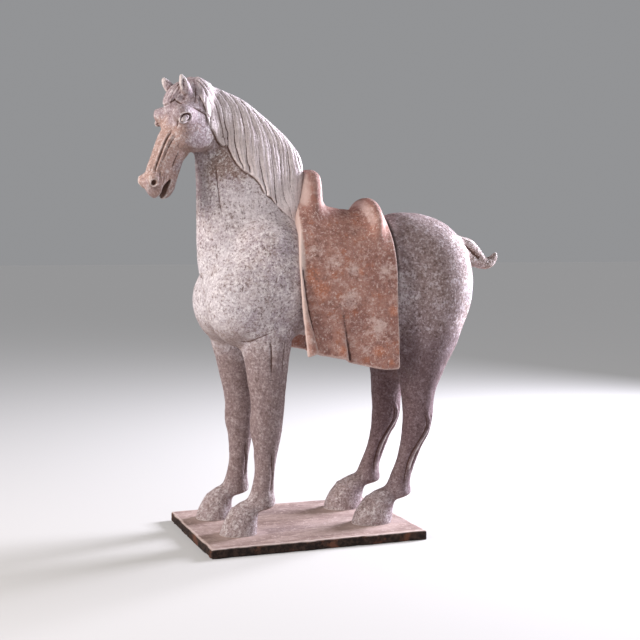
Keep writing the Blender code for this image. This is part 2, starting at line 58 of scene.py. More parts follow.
# %% Camera
CAMERA_PLACE = (-0.5205, -1.5243, 0.3891)
CAMERA_TURN = math.radians(20.084)  # from +Y towards +X
CAMERA_DIP = math.radians(3.670)
CAMERA_LENS = 67.5  # mm, on a sensor 36 mm wide

lens = bpy.data.cameras.new("camera")
lens.lens = CAMERA_LENS
lens.sensor_width = 36.0
camera = bpy.data.objects.new("camera", lens)
bpy.context.scene.collection.objects.link(camera)
level = math.cos(CAMERA_DIP)
sight = Vector((math.sin(CAMERA_TURN) * level, math.cos(CAMERA_TURN) * level, -math.sin(CAMERA_DIP)))
camera.location = CAMERA_PLACE
camera.rotation_euler = sight.to_track_quat("-Z", "Y").to_euler()
bpy.context.scene.camera = camera
print("camera at", CAMERA_PLACE)

# %% [markdown]
# Wet clay joins without a seam. To get that in a mesh, each lump is a distance field: a function that says how
# far any point is from the lump's skin, negative inside. Two fields are joined with a rounded minimum, which
# fills the corner between them just as a thumb does. Subdivision modelling could make the same form, but
# here the joins, fillets and cuts stay easy to move. All the numbers of the form are millimetres.


# %% Lumps, limbs and strokes
def lump(centre, radii, lean=0.0):
    """An egg of clay that leans by some degrees about the crosswise axis."""
    return {"centre": np.array(centre, float), "radii": np.array(radii, float), "lean": math.radians(lean)}


def smooth(rows, steps):
    """More rows between the given ones, on a Catmull-Rom curve."""
    rows = np.array(rows, float)
    padded = np.vstack([2 * rows[0] - rows[1], rows, 2 * rows[-1] - rows[-2]])
    found = []
    for a, b, c, d in zip(padded, padded[1:], padded[2:], padded[3:]):
        for t in np.arange(steps) / steps:
            bend = (2 * a - 5 * b + 4 * c - d) * t**2 + (3 * b - a - 3 * c + d) * t**3
            found.append(0.5 * (2 * b + (c - a) * t + bend))
    return np.array([*found, rows[-1]])


def limb(*stations, steps=3):
    """A tapering limb. Each station is x, y, z, half its depth, half its width."""
    return {"stations": smooth(stations, steps)}


def moved(form, offset, lean=0.0):
    """The same limb somewhere else, leaning forward above the knee."""
    rows = form["stations"] + np.array([*offset, 0.0, 0.0])
    rows[:, 0] -= lean * np.maximum(rows[:, 2] - KNEE_LEVEL, 0)
    return {"stations": rows}


def stroke(height, width, *path, steps=3, fade=0.0):
    """A ridge, or a groove where the height is negative, on a path. It dies away over the fade at its ends."""
    return {"height": height, "width": width, "path": smooth(path, steps), "fade": fade}


def box_of(form):
    """The two corners of the box round a form."""
    if "centre" in form:
        size = np.full(3, form["radii"].max())
        return form["centre"] - size, form["centre"] + size
    rows = form["stations"] if "stations" in form else form["path"]
    size = rows[:, 3:].max() if "stations" in form else 0.0
    return rows[:, :3].min(0) - size, rows[:, :3].max(0) + size


print("the tail needs", len(smooth([(0, 0), (1, 1), (2, 0)], 3)), "rows for three stations")


# %% How far a point is from each form
def lump_distance(points, form):
    """How far the points are from an egg, by its own stretched measure."""
    c, s = math.cos(form["lean"]), math.sin(form["lean"])
    q = points - form["centre"]
    q = np.stack([q[:, 0] * c - q[:, 2] * s, q[:, 1], q[:, 0] * s + q[:, 2] * c], 1) / form["radii"]
    near = np.sqrt((q * q).sum(1))
    slope = np.sqrt(((q / form["radii"]) ** 2).sum(1))
    return near * (near - 1.0) / np.maximum(slope, 1e-9)


def limb_distance(points, form):
    """How far the points are from a limb: the nearest of its tapering pieces."""
    rows = form["stations"]
    best = np.full(len(points), 1e9)
    for a, b in zip(rows, rows[1:]):
        axis = b[:3] - a[:3]
        q = points - a[:3]
        along = np.clip(q @ axis / (axis @ axis), 0, 1)
        q -= along[:, None] * axis
        deep = a[3] + along * (b[3] - a[3])
        ratio = deep / (a[4] + along * (b[4] - a[4]))
        flat = q[:, 0] ** 2 + q[:, 2] ** 2
        across = (q[:, 1] * ratio) ** 2
        size = np.sqrt(flat + across)
        slope = np.sqrt(flat + across * ratio**2) / np.maximum(size, 1e-6)
        best = np.minimum(best, (size - deep) / np.maximum(slope, 0.3))
    return best


def path_distance(points, form):
    """How far the points are from a stroke's path."""
    best = np.full(len(points), 1e9)
    for a, b in zip(form["path"], form["path"][1:]):
        axis = b - a
        q = points - a
        along = np.clip(q @ axis / (axis @ axis), 0, 1)
        q -= along[:, None] * axis
        best = np.minimum(best, (q * q).sum(1))
    return np.sqrt(best)


def distance(points, form, reach=18.0):
    """How far the points are from a form. Points beyond the reach get the distance to the form's box."""
    lo, hi = box_of(form)
    away = np.maximum(np.maximum(lo - points, points - hi), 0)
    found = np.sqrt((away * away).sum(1))
    close = found < reach
    found[~close] += 2.0
    if close.any():
        kind = lump_distance if "centre" in form else limb_distance if "stations" in form else path_distance
        found[close] = kind(points[close], form)
    return found


# %% Joining, cutting and carving
MIRROR = np.array([1.0, -1.0, 1.0])


def join(a, b, fillet):
    """The smooth union of two distances, with a fillet about that wide."""
    h = np.maximum(fillet - np.abs(a - b), 0) / fillet
    return np.minimum(a, b) - h * h * fillet / 4


def cut(a, b, fillet):
    """The first distance with the second taken out of it."""
    return -join(-a, b, fillet)


def relief(points, strokes):
    """How far the strokes raise the skin at the points."""
    raised = np.zeros(len(points))
    for form in strokes:
        d = distance(points, form, reach=3 * form["width"])
        near = np.flatnonzero(d < 3 * form["width"])
        height = form["height"] * np.exp(-((d[near] / form["width"]) ** 2))
        for end in (form["path"][0], form["path"][-1]) if form["fade"] else ():
            height *= 1 - np.exp(-((points[near] - end) ** 2).sum(1) / form["fade"] ** 2)
        raised[near] += height
    return raised


def two_sided(form, points, reach=34.0):
    """The nearer of a form and its mirror image on the far side."""
    return np.minimum(distance(points, form, reach), distance(points * MIRROR, form, reach))


def ramp(value, start, end):
    """Zero before the start, one after the end, and smooth between."""
    t = np.clip((value - start) / (end - start), 0, 1)
    return t * t * (3 - 2 * t)


print("a fillet of 8 mm adds", round(float(-join(np.zeros(1), np.zeros(1), 8.0)[0]), 1), "mm in the corner")

# %% [markdown]
# The body of a moulded horse is a few big swellings: barrel, croup, rump and haunches behind, withers, shoulders
# and two full breast lobes in front. The neck rises out of them nearly upright, and its back edge is the crest.
# Long fillets, 14 to 30 mm, make them one skin.

# %% The trunk and neck
BARREL = lump((52, 0, 340), (128, 71, 79))
RUMP = lump((180, 0, 336), (79, 70, 92))
CROUP = lump((150, 0, 370), (54, 54, 59))
HAUNCH = lump((180, -32, 298), (52, 40, 84), lean=16)
WITHERS = lump((5, 0, 372), (58, 42, 54))
SHOULDER = lump((-40, -34, 338), (56, 42, 80), lean=-8)
BREAST = lump((-81, -35, 311), (49, 42, 58), lean=-4)
NECK = limb(
    (-52, 0, 335, 74, 50),
    (-60, 0, 375, 73, 42),
    (-63, 0, 425, 71, 35),
    (-68, 0, 468, 66, 30.5),
    (-84, 0, 505, 52, 25.5),
    (-106, 0, 534, 36, 22),
    (-122, 0, 553, 26, 21),
    steps=8,
)
CREST = limb(
    (-128, 0, 580, 13, 11),
    (-104, 0, 573, 13, 11),
    (-78, 0, 562, 13, 11),
    (-57, 0, 547, 13, 11),
    (-36, 0, 530, 13, 12),
    (-17, 0, 512, 13, 13),
    (-7, 0, 496, 14, 15),
    (-7, 0, 472, 17, 20),
    (-12, 0, 438, 20, 28),
)


def trunk_distance(points):
    """The neck, chest, barrel and rump as one skin."""
    d = join(distance(points, BARREL, 34), distance(points, RUMP, 34), 30)
    d = join(d, distance(points, CROUP), 18)
    d = join(d, distance(points, WITHERS, 34), 30)
    d = join(d, two_sided(HAUNCH, points), 25)
    d = join(d, join(two_sided(SHOULDER, points), two_sided(BREAST, points), 22), 16)
    d = join(d, distance(points, NECK), 14)
    return join(d, distance(points, CREST), 14)


beside_barrel = BARREL["centre"] + (0, BARREL["radii"][1], 0)
print("beside the barrel the skin is", trunk_distance(beside_barrel[None]).round(1)[0], "mm off its side")

# %% [markdown]
# Each leg is a row of oval stations down its bone: forearm, knee, cannon, fetlock, then the pastern and a wedge of
# a hoof. The far legs are the near ones mirrored and set a little forward, as the photograph shows them. Each
# fetlock juts out behind to a heel with a flat underside, so a lump is added there and a corner cut out below it.
# A tube swept along a curve would do for the shank, but it would have to be sewn to the trunk. A field joins it.

# %% The legs and the tail
KNEE_LEVEL = 165.0
SLAB_TOP = 13.0
FORELEG = limb(
    (-54, -44, 268, 36, 27),
    (-54, -47, 242, 30, 24),
    (-54, -49, 220, 27, 22),
    (-53.5, -50, 194, 23.5, 19.5),
    (-54, -50, 173, 22, 18.5),
    (-56, -50, 150, 21.5, 18.5),
    (-56, -50, 126, 17, 15.5),
    (-57.5, -50, 102, 14, 13),
    (-59, -50, 84, 13.5, 12.5),
    (-61, -50, 68, 15, 14),
    (-63, -50, 55, 17, 15),
)
FORE_HOOF = limb(
    (-62, -50, 53, 16, 14),
    (-74, -50, 45, 14.5, 14),
    (-83, -50, 39, 17, 17),
    (-89, -50, 28, 22, 19),
    (-93.5, -50, 14, 24.5, 21),
    (-95, -50, 4, 25, 22),
)
HINDLEG = limb(
    (179, -38, 262, 41, 32),
    (166, -45, 225, 34, 27),
    (162, -48, 204, 27, 23),
    (159.5, -50, 178, 22.5, 19),
    (159.5, -50, 155, 21, 17.5),
    (157, -50, 138, 19.5, 16.5),
    (151.5, -50, 122, 15.5, 15),
    (144, -50, 99, 13, 13),
    (136.5, -50, 79, 13, 13),
    (132.5, -50, 66, 14.5, 14.5),
    (130.5, -50, 56, 16, 15.5),
)
HIND_HOOF = limb(
    (131, -50, 54, 15, 15),
    (119, -50, 47, 15, 15),
    (106, -50, 40, 18, 18),
    (98, -50, 28, 24, 20),
    (92, -50, 14, 27, 22),
    (91, -50, 4, 27, 22),
)
# The heel is x and z. From there the cut slopes down to the pastern, whose back stands at the given x.
FORE_FETLOCK = {
    "middle": (-57, -50, 51),
    "size": (11, 11.5, 14),
    "heel": (-46.8, 47.0),
    "slope": 0.20,
    "pastern_back": -70.0,
}
HIND_FETLOCK = {
    "middle": (136.5, -50, 54),
    "size": (11.5, 11.5, 14),
    "heel": (147.5, 50.0),
    "slope": 0.24,
    "pastern_back": 120.0,
}
FAR_FORE_STEP = (-6.0, 0.0, 1.0)
FAR_FORE_LEAN = 0.10
FAR_HIND_STEP = (-3.0, 0.0, 1.0)
LEGS = (
    (FORELEG, FORE_HOOF, FORE_FETLOCK, FAR_FORE_STEP, FAR_FORE_LEAN),
    (HINDLEG, HIND_HOOF, HIND_FETLOCK, FAR_HIND_STEP, 0.0),
)
TAIL = limb(
    (238, 0, 379, 20, 17),
    (256, 0, 378, 18, 14),
    (270, 0, 368, 13.5, 11),
    (281, 0, 361, 9.5, 9),
    (291, 0, 360, 8, 8),
    (299, 0, 366, 6.5, 6.5),
    (303, 0, 373, 4, 4),
)


def leg_distance(points):
    """The forelegs and the hind legs, as two distances."""
    found = []
    for side in (1, -1):
        q = points if side == 1 else points * MIRROR
        for leg, hoof, fetlock, step, far_lean in LEGS:
            offset, lean = ((0.0, 0.0, 0.0), 0.0) if side == 1 else (step, far_lean)
            knob = lump(np.array(fetlock["middle"]) + offset, fetlock["size"])
            shank = join(distance(q, moved(leg, offset, lean)), distance(q, knob), 5)
            whole = join(shank, distance(q, moved(hoof, offset)), 5)
            x, z = q[:, 0] - offset[0], q[:, 2] - offset[2]
            heel_x, heel_z = fetlock["heel"]
            under = z - heel_z - fetlock["slope"] * (x - heel_x)
            clear = join(-under, x - fetlock["pastern_back"], 3)
            found.append(cut(whole, -clear, 1.5))
    return np.minimum(found[0], found[2]), np.minimum(found[1], found[3])


print("the hooves reach down to", FORE_HOOF["stations"][-1, 2], "mm and are cut flat at", SLAB_TOP, "mm")

# %% [markdown]
# The head is lean and long, with a flat cheek disc, heavy brows that stand out over almond eyes, round nostrils
# and an open mouth. It could be sculpted by eye, but as named lumps each feature can be moved until it lies where
# the photograph shows it. It is modelled straight and turned 20 degrees to the horse's left when it is used.

# %% The head
POLL_X = -112.0
HEAD_BACK = -118.0
HEAD_FOOT = 440.0
HEAD_TURN = math.radians(20.0)
SKULL = limb(
    (-136, 0, 577, 20, 18),
    (-145, 0, 562, 27, 23),
    (-152, 0, 542, 28, 24),
    (-166, 0, 522, 24, 20),
    (-177.5, 0, 505, 21.5, 16),
    (-184, 0, 490, 21.5, 14),
    (-190, 0, 476, 22, 13.5),
    (-193.5, 0, 465, 21.5, 14.5),
)
CHEEK = lump((-148, -16.5, 529), (31, 11, 25), lean=-12)
BROW = lump((-172, -21.5, 551), (14, 11, 11))
EYEBALL = lump((-175, -28.0, 543.5), (7.6, 4.2, 5.0), lean=-30)
NOSTRIL = lump((-208, -11.5, 467), (8.5, 7.0, 8.5))
NOSTRIL_HOLE = lump((-211.5, -16.0, 463), (3.0, 4.4, 3.8))
FORELOCK = limb((-146, 0, 590, 9, 12), (-166, 0, 579, 10, 13), (-175, 0, 567, 9.5, 11), (-177, 0, 557, 7, 8))
EAR = limb(
    (-158, -13.5, 574, 5.5, 4.8),
    (-163.5, -16, 583, 6.4, 4.7),
    (-168.5, -18.5, 590, 5.2, 4.1),
    (-172.5, -20, 596.5, 2, 1.9),
)
EAR_HOLLOW = limb((-171, -24, 592.5, 1.9, 3.4), (-170.5, -24, 587, 3.2, 4.8), (-168.5, -22.5, 581, 2.6, 4.0))
MOUTH = limb((-186.5, 0, 467, 2, 40), (-190.5, 0, 459, 3.6, 40), (-195, 0, 446, 4.6, 40), (-197, 0, 436, 5.4, 40))
MOUTH_CORNER = lump((-190.5, -15, 456), (6.8, 7, 9.5), lean=28)


def unturned(points):
    """Points carried back to the head's own straight frame, all on the near side."""
    c, s = math.cos(HEAD_TURN), math.sin(HEAD_TURN)
    x, y = points[:, 0] - POLL_X, points[:, 1]
    return np.stack([POLL_X + x * c + y * s, -np.abs(y * c - x * s), points[:, 2]], 1)


def straight_head_distance(near):
    """The head before it is turned. The points are all on its near side."""
    d = join(distance(near, SKULL), join(distance(near, CHEEK), distance(near, NOSTRIL), 4), 6)
    d = join(d, distance(near, BROW), 12)
    d = join(d, distance(near, FORELOCK), 7)
    d = join(d, distance(near, EAR), 4)
    d = cut(d, distance(near, EAR_HOLLOW), 2)
    d = cut(d, distance(near, NOSTRIL_HOLE), 2)
    d = cut(d, distance(near, MOUTH_CORNER), 3)
    d = cut(d, distance(near, MOUTH), 2)
    return join(d, distance(near, EYEBALL), 1)


def head_distance(points):
    """The head in its place, turned."""
    return straight_head_distance(unturned(points))


# %% [markdown]
# Nothing made by hand is even. A value noise, a grid of random numbers blended between its points, gives every
# skin the slight waves of hand pressure, and later the small chips. The grid is seeded, so each run is the same.


# %% Seeded noise
def noise(points, size, seed):
    """Smooth noise from -1 to 1 with bumps about one size apart."""
    side = 32
    lattice = np.random.default_rng(seed).uniform(-1, 1, (side, side, side))
    q = points / size + 1000.0
    base = np.floor(q).astype(int)
    t = q - base
    t = t * t * (3 - 2 * t)
    found = np.zeros(len(points))
    for corner in np.ndindex(2, 2, 2):
        weight = np.ones(len(points))
        for k in range(3):
            weight *= t[:, k] if corner[k] else 1 - t[:, k]
        index = (base + np.array(corner)) % side
        found += weight * lattice[index[:, 0], index[:, 1], index[:, 2]]
    return found


def waves(points, parts, seed):
    """Several noises together. Each part is a height and a size, in millimetres."""
    return sum(height * noise(points, size, seed + k) for k, (height, size) in enumerate(parts))


print("noise at three points:", noise(np.array([[0.0, 0, 0], [5, 0, 0], [9, 4, 2]]), 4.0, 1).round(2))

# %% [markdown]
# The mane is a layer of clay laid on both sides of the neck. Its lower edge steps down from the poll to the
# withers in pointed locks, and the locks are parted by a few long cuts. Each cut is given as a curve, x against
# height, and the finer combing between two cuts runs at even shares of the way from one to the next. Blender's
# hair would look like real hair. This is clay, so the locks only raise and lower the skin.

# %% The mane's edge and its parting cuts
MANE_EDGE = smooth(
    [
        (-140, 578, 0),
        (-131, 562, 0),
        (-127, 542, 0),
        (-119, 530, 0),
        (-112, 519, 0),
        (-104, 512, 0),
        (-99, 514, 0),
        (-92, 498, 0),
        (-82, 484, 0),
        (-73, 478, 0),
        (-64, 472, 0),
        (-57, 464, 0),
        (-50, 451, 0),
        (-42, 447, 0),
        (-35, 438, 0),
        (-21, 426, 0),
        (-5, 412, 0),
    ],
    2,
)
PARTINGS = [
    [(-150, 604), (-136, 590), (-126, 572), (-121, 556), (-123, 541), (-123, 520)],
    [(-143, 604), (-128, 586), (-116, 568), (-110, 552), (-107, 538), (-104, 524), (-101, 512), (-99, 400)],
    [(-130, 600), (-115, 581), (-106, 566), (-103, 549), (-101, 535), (-98, 517), (-95, 400)],
    [(-114, 596), (-99, 573), (-92, 561), (-91, 546), (-89, 523), (-87, 509), (-82, 492), (-79, 480), (-77, 400)],
    [(-100, 590), (-84, 569), (-80, 561), (-77, 549), (-75, 520), (-74, 494), (-71, 478), (-69, 400)],
    [(-86, 580), (-72, 566), (-67, 558), (-61, 538), (-58, 520), (-57, 492), (-54, 472), (-50, 453), (-47, 400)],
    [(-72, 570), (-58, 556), (-48, 540), (-42, 526), (-40, 504), (-38, 477), (-37, 454), (-34, 438), (-31, 400)],
    [(-56, 560), (-42, 545), (-33, 530), (-28.5, 517), (-27.7, 492), (-28, 469), (-22, 446), (-14, 428), (-10, 400)],
    [(-42, 548), (-28, 534), (-19, 518), (-15, 500), (-14, 480), (-14, 460), (-8, 440), (-4, 400)],
    [(-20, 540), (-8, 520), (0, 500), (4, 480), (6, 460), (8, 440), (10, 400)],
]
PARTING_CURVES = [smooth([(z, x) for x, z in rows][::-1], 3) for rows in PARTINGS]
print(len(PARTINGS), "parting cuts")


# %% How far the mane stands up
MANE_RAISE = 2.0


def mane_share(points):
    """One on the mane and zero on the bare neck."""
    x, z = points[:, 0], points[:, 2]
    edge = np.interp(x, MANE_EDGE[:, 0], MANE_EDGE[:, 1])
    return ramp(z - edge, -0.6, 2.2) * ramp(x, -142, -134) * ramp(26 - x, 0, 8) * ramp(z, 396, 430)


def mane_raise(points):
    """How far the mane's layer, its locks and its partings lift the skin."""
    x, side, z = points[:, 0], np.abs(points[:, 1]), points[:, 2]
    places = np.stack([np.interp(z, curve[:, 0], curve[:, 1]) for curve in PARTING_CURVES])
    places += 0.8 * noise(np.stack([z, side, 0 * z], 1), 13, 41)
    gap = np.abs(x - places).min(0)
    order = (x > places).sum(0)
    left = np.take_along_axis(places, np.clip(order - 1, 0, len(places) - 1)[None], 0)[0]
    right = np.take_along_axis(places, np.clip(order, 0, len(places) - 1)[None], 0)[0]
    share = np.clip((x - left) / np.maximum(right - left, 1.0), 0, 1)
    edge = np.interp(x, MANE_EDGE[:, 0], MANE_EDGE[:, 1])
    low = 1 - ramp(z - edge, 4, 42)
    strand = np.stack([order * 17.0, z * 0.28, side * 0.2], 1)
    body = 0.6 * np.sin(math.pi * share) ** 0.7
    depth = 0.5 + 0.5 * noise(strand, 7, 42)
    comb = 0.34 * np.cos(2 * math.pi * 3 * share + 3.4 * noise(strand, 9, 43)) * (0.2 + 0.8 * depth)
    fine = 0.20 * np.cos(2 * math.pi * 7 * share + 4.0 * noise(strand, 6, 44)) * (1 - 0.6 * depth)
    deep = ramp(noise(strand, 11, 45), -0.25, 0.45)
    cut_depth = 0.25 + 0.9 * deep * depth + 1.7 * low * (0.35 + 0.65 * deep)
    parting = cut_depth * np.exp(-((gap / (0.75 + 0.4 * low)) ** 2))
    fade = 1 - 0.75 * ramp(x, -45, -15) * (1 - ramp(z, 440, 480))
    return mane_share(points) * fade * (MANE_RAISE + ramp(side, 1.5, 9) * (body + comb + fine - parting))


# %% [markdown]
# The potter then cut and pressed the details with a wooden tool. A stroke is a path on the skin with a height and a
# width: a groove is a stroke with a negative height. Each side of the body gets the same strokes, mirrored. They
# move the mesh, because a groove that is only painted or bumped goes flat when the light comes from another side.

# %% Strokes on the body and legs
BODY_STROKES = [
    stroke(-4.0, 4.0, (-112, 0, 345), (-114, 0, 312), (-106, 0, 280)),
    stroke(-1.1, 1.3, (-117, -26, 505), (-116, -30, 475), (-113, -34, 440), (-108, -38, 410), fade=22),
    stroke(0.6, 3.5, (-112, -30, 500), (-110, -33, 475), (-108, -37, 440), fade=20),
    stroke(-1.3, 1.2, (-57, -71, 273), (-55.5, -71, 254), (-55, -71, 240), (-56, -69, 212), fade=11),
    stroke(-1.2, 1.2, (-35, -64, 272), (-37, -66, 250), (-41, -67, 218), fade=11),
    stroke(-0.6, 1.3, (-67, -69, 266), (-65, -70, 244), fade=8),
    stroke(1.3, 3.4, (-47, -69, 264), (-48, -70, 244), (-49, -69, 226), fade=10),
    stroke(-0.7, 1.5, (-102, -54, 266), (-86, -60, 262), (-67, -69, 270), (-43, -68, 279), fade=10),
]


def both_faces(height, width, *path):
    """One stroke on the outer face of a leg and the same on its inner face."""
    inner = [(x, 2 * LEG_SIDE - y, z) for x, y, z in path]
    return [stroke(height, width, *points, fade=8.0) for points in (path, inner)]


LEG_SIDE = -50.0
HIND_TENDON_FRONT = (
    (160, -68, 162),
    (165, -67, 152),
    (165, -66, 140),
    (156, -65, 124),
    (143, -63, 102),
    (135, -63, 75),
    (133, -65, 60),
)
HIND_TENDON = (
    (163, -66, 164),
    (169.5, -64, 152),
    (170, -63, 140),
    (160, -64, 124),
    (147, -63, 101),
    (139, -62, 77),
)
HIND_TENDON_BACK = (
    (168, -64, 164),
    (174, -61, 152),
    (174, -60, 140),
    (164, -62, 123),
    (151, -62, 100),
    (143, -61, 78),
)
LEG_STROKES = [
    *both_faces(-1.3, 1.3, (-50, -63, 124), (-52.5, -63.5, 110), (-50.5, -60, 87), (-55, -62, 62)),
    *both_faces(0.8, 1.6, (-46, -60, 124), (-48.5, -61, 110), (-47, -58, 87), (-50, -60, 64)),
    *both_faces(-1.6, 1.2, *HIND_TENDON_FRONT),
    *both_faces(1.1, 1.6, *HIND_TENDON),
    *both_faces(-1.4, 1.1, *HIND_TENDON_BACK),
    stroke(0.9, 6.0, (166, -66, 158), (164, -66, 146)),
    stroke(1.2, 3.0, (-105, -50, 47), (-99, -34, 45), (-84, -31, 42), fade=6),
    stroke(1.2, 3.0, (-105, -50, 47), (-99, -66, 45), (-84, -69, 42), (-72, -66, 38), fade=6),
    stroke(1.2, 3.0, (85, -50, 50), (91, -32, 46), (106, -31, 43), fade=6),
    stroke(1.2, 3.0, (85, -50, 50), (91, -68, 46), (106, -69, 43), (120, -66, 38), fade=6),
    stroke(-0.9, 2.0, (-98, -50, 56), (-90, -64, 52), (-76, -66, 48), fade=8),
    stroke(-0.9, 2.0, (96, -50, 58), (100, -65, 54), (116, -67, 52), fade=8),
]
TAIL_RIB_GAP = 4.2
TAIL_RIBS = []
for k in range(7):
    x = TAIL_RIB_GAP * k
    rib = ((264 + x, -9, 366 - 1.6 * k), (266 + x, -11, 372 - 1.6 * k), (268 + x, 0, 381 - 1.9 * k))
    TAIL_RIBS.append(stroke(0.7, 1.3, *rib))
TAIL_HOLLOW = [
    stroke(-3.0, 3.2, (246, -15, 386), (258, -13, 378), (270, -9, 369)),
    stroke(1.6, 2.4, (246, -12, 395), (262, -10, 388)),
]
print(len(BODY_STROKES + LEG_STROKES + TAIL_RIBS + TAIL_HOLLOW), "strokes on the body, legs and tail")

# %% Strokes on the head, before it is turned
EYE = (-175.0, 543.5)
EYE_TILT = math.radians(31)


def eye_ring(height, width, long, tall):
    """A closed stroke round the eye, which slopes down towards the nose."""
    turn = np.linspace(0, 2 * math.pi, 17)
    along, up = long * np.cos(turn), tall * np.sin(turn)
    x = EYE[0] + along * math.cos(EYE_TILT) - up * math.sin(EYE_TILT)
    z = EYE[1] + along * math.sin(EYE_TILT) + up * math.cos(EYE_TILT)
    return stroke(height, width, *[(a, -31.0, b) for a, b in zip(x, z)], steps=1)


HEAD_STROKES = [
    eye_ring(-2.7, 1.1, 8.2, 5.2),
    eye_ring(0.9, 1.2, 10.4, 7.0),
    eye_ring(-0.5, 0.7, 3.0, 2.6),
    stroke(-1.4, 1.1, (-182, -28, 541), (-187, -24, 536), (-191, -20, 531), fade=3),
    stroke(-1.3, 1.0, (-168, -29, 549), (-160, -30, 553), fade=3),
    stroke(1.0, 2.6, (-193, -15, 552), (-189, -21, 556), (-180, -27, 559), (-166, -29, 558), (-155, -27, 554), fade=8),
    stroke(-1.0, 1.6, (-190, -21, 545), (-188, -25, 547), (-186, -27, 550), fade=3),
    stroke(1.2, 1.5, (-193, -16, 533), (-198, -14, 518), (-202, -12, 504), (-208, -11, 487), (-212, -11, 474), fade=8),
    stroke(-1.1, 1.1, (-190, -18, 533), (-195, -16, 518), (-199, -14, 504), (-205, -13, 487), (-209, -13, 475), fade=8),
    stroke(1.1, 1.5, (-187, -21, 531), (-192, -18, 518), (-197, -16, 504), (-202, -14, 489), (-207, -14, 477), fade=8),
    stroke(-0.9, 1.1, (-183, -22, 528), (-188, -20, 516), (-193, -18, 503), (-198, -16, 490), fade=8),
    stroke(-0.8, 2.4, (-197, -10, 536), (-202, -9, 520), (-207, -8, 504), (-212, -7, 488), fade=8),
    stroke(-1.2, 1.4, (-199, -15, 480), (-204, -15, 468), (-208, -15, 457), fade=5),
    stroke(0.9, 1.8, (-194, -15, 482), (-199, -15, 470), (-204, -15, 458), fade=5),
    stroke(-1.1, 1.1, (-174, -18, 505), (-178, -16, 496), (-182, -15, 487), (-184, -14, 479), fade=5),
    stroke(-0.7, 2.0, (-182, -22, 518), (-176, -24, 515), (-170, -24, 514), fade=4),
    stroke(0.7, 3.4, (-180, -20, 511), (-174, -20, 508)),
    stroke(-0.9, 2.2, (-176, -22, 504), (-162, -24, 502), (-146, -24, 503), (-133, -24, 508), (-124, -24, 518), fade=8),
    stroke(1.2, 1.7, (-183, -15, 474), (-178, -14, 463), (-182, -13, 451), fade=4),
    stroke(1.1, 1.7, (-190, -15, 474), (-197, -14, 463), (-201, -13, 451), fade=4),
    stroke(0.6, 1.4, (-214, -12, 471), (-218, -14, 464), (-214, -16, 456)),
    stroke(0.6, 1.4, (-214, -12, 471), (-208, -17, 469), (-207, -18, 461), (-211, -18, 456)),
    stroke(-1.1, 1.4, (-206, -14, 452), (-199, -13, 449), (-196, -12, 452), fade=3),
]
FORELOCK_CUTS = [
    stroke(-0.8, 1.1, (-150, -k, 598), (-164, -k * 1.15, 588), (-176, -k * 1.1, 573), (-184, -k * 0.7, 558), fade=6)
    for k in (1.5, 5, 9, 13)
]
HAIR_CUTS = [
    stroke(-0.7, 1.0, (-156, -4 - k, 592), (-162, -10 - k, 580), (-168, -14 - k, 569), fade=5) for k in (4, 8)
]
for k in (0, 6, 12):
    rows = ((-148 + k, -14, 588 - 0.3 * k), (-152 + k, -22, 574 - 0.4 * k), (-156 + k, -26, 561 - 0.4 * k))
    HAIR_CUTS.append(stroke(-0.7, 1.0, *rows, fade=6))
EAR_RIM = [
    stroke(0.6, 1.0, (-171, -20, 582), (-174.5, -22, 589), (-174, -21.5, 595)),
    stroke(0.6, 1.0, (-163, -21, 582), (-167, -22, 590), (-170.5, -21.5, 596)),
]
HAIR_LINE = np.array([(-190, 557), (-177, 569), (-170, 563), (-155, 558), (-142, 553), (-130, 545)], float)


def hair_step(points):
    """The hair of the forehead stands a little over the brow, down to a creased edge."""
    above = points[:, 2] - np.interp(points[:, 0], HAIR_LINE[:, 0], HAIR_LINE[:, 1])
    return 1.0 * ramp(above, -1.0, 2.5) - 0.7 * np.exp(-((above / 1.4) ** 2))


def laid(form, field, rounds=6):
    """The same stroke with its path brought down onto the skin of a field."""
    path = form["path"].copy()
    step = 0.4
    for _ in range(rounds):
        d = field(path)
        slope = np.stack([(field(path + step * axis) - d) / step for axis in np.eye(3)], 1)
        size = np.maximum((slope * slope).sum(1), 0.1)
        path -= slope * (d / size)[:, None]
    return {**form, "path": path}


print(len(HEAD_STROKES + FORELOCK_CUTS + HAIR_CUTS + EAR_RIM), "strokes on the head")

# %% [markdown]
# The field becomes a mesh in the way of a surface net: wherever a small cell of space has the field's zero
# passing through it, one vertex is set at the mean of the crossings on its edges. It gives even quads all
# over, which is what the later carving needs. Only cells near the skin are worked out.


# %% From a field to a skin
def sampled(field, corner, counts, grain):
    """The field on a grid. Blocks far from the skin take the coarse value."""
    block = 4
    coarse_counts = [count // block + 2 for count in counts]
    axes = [corner[k] + np.arange(coarse_counts[k]) * grain * block for k in range(3)]
    coarse = field(np.stack(np.meshgrid(*axes, indexing="ij"), -1).reshape(-1, 3)).reshape(coarse_counts)
    index = [np.arange(count) for count in counts]
    nearest = [np.minimum((i + block // 2) // block, coarse_counts[k] - 1) for k, i in enumerate(index)]
    value = coarse[np.ix_(*nearest)]
    close = np.argwhere(np.abs(value) < grain * block * 1.7)
    value[tuple(close.T)] = field(corner + close * grain)
    return value


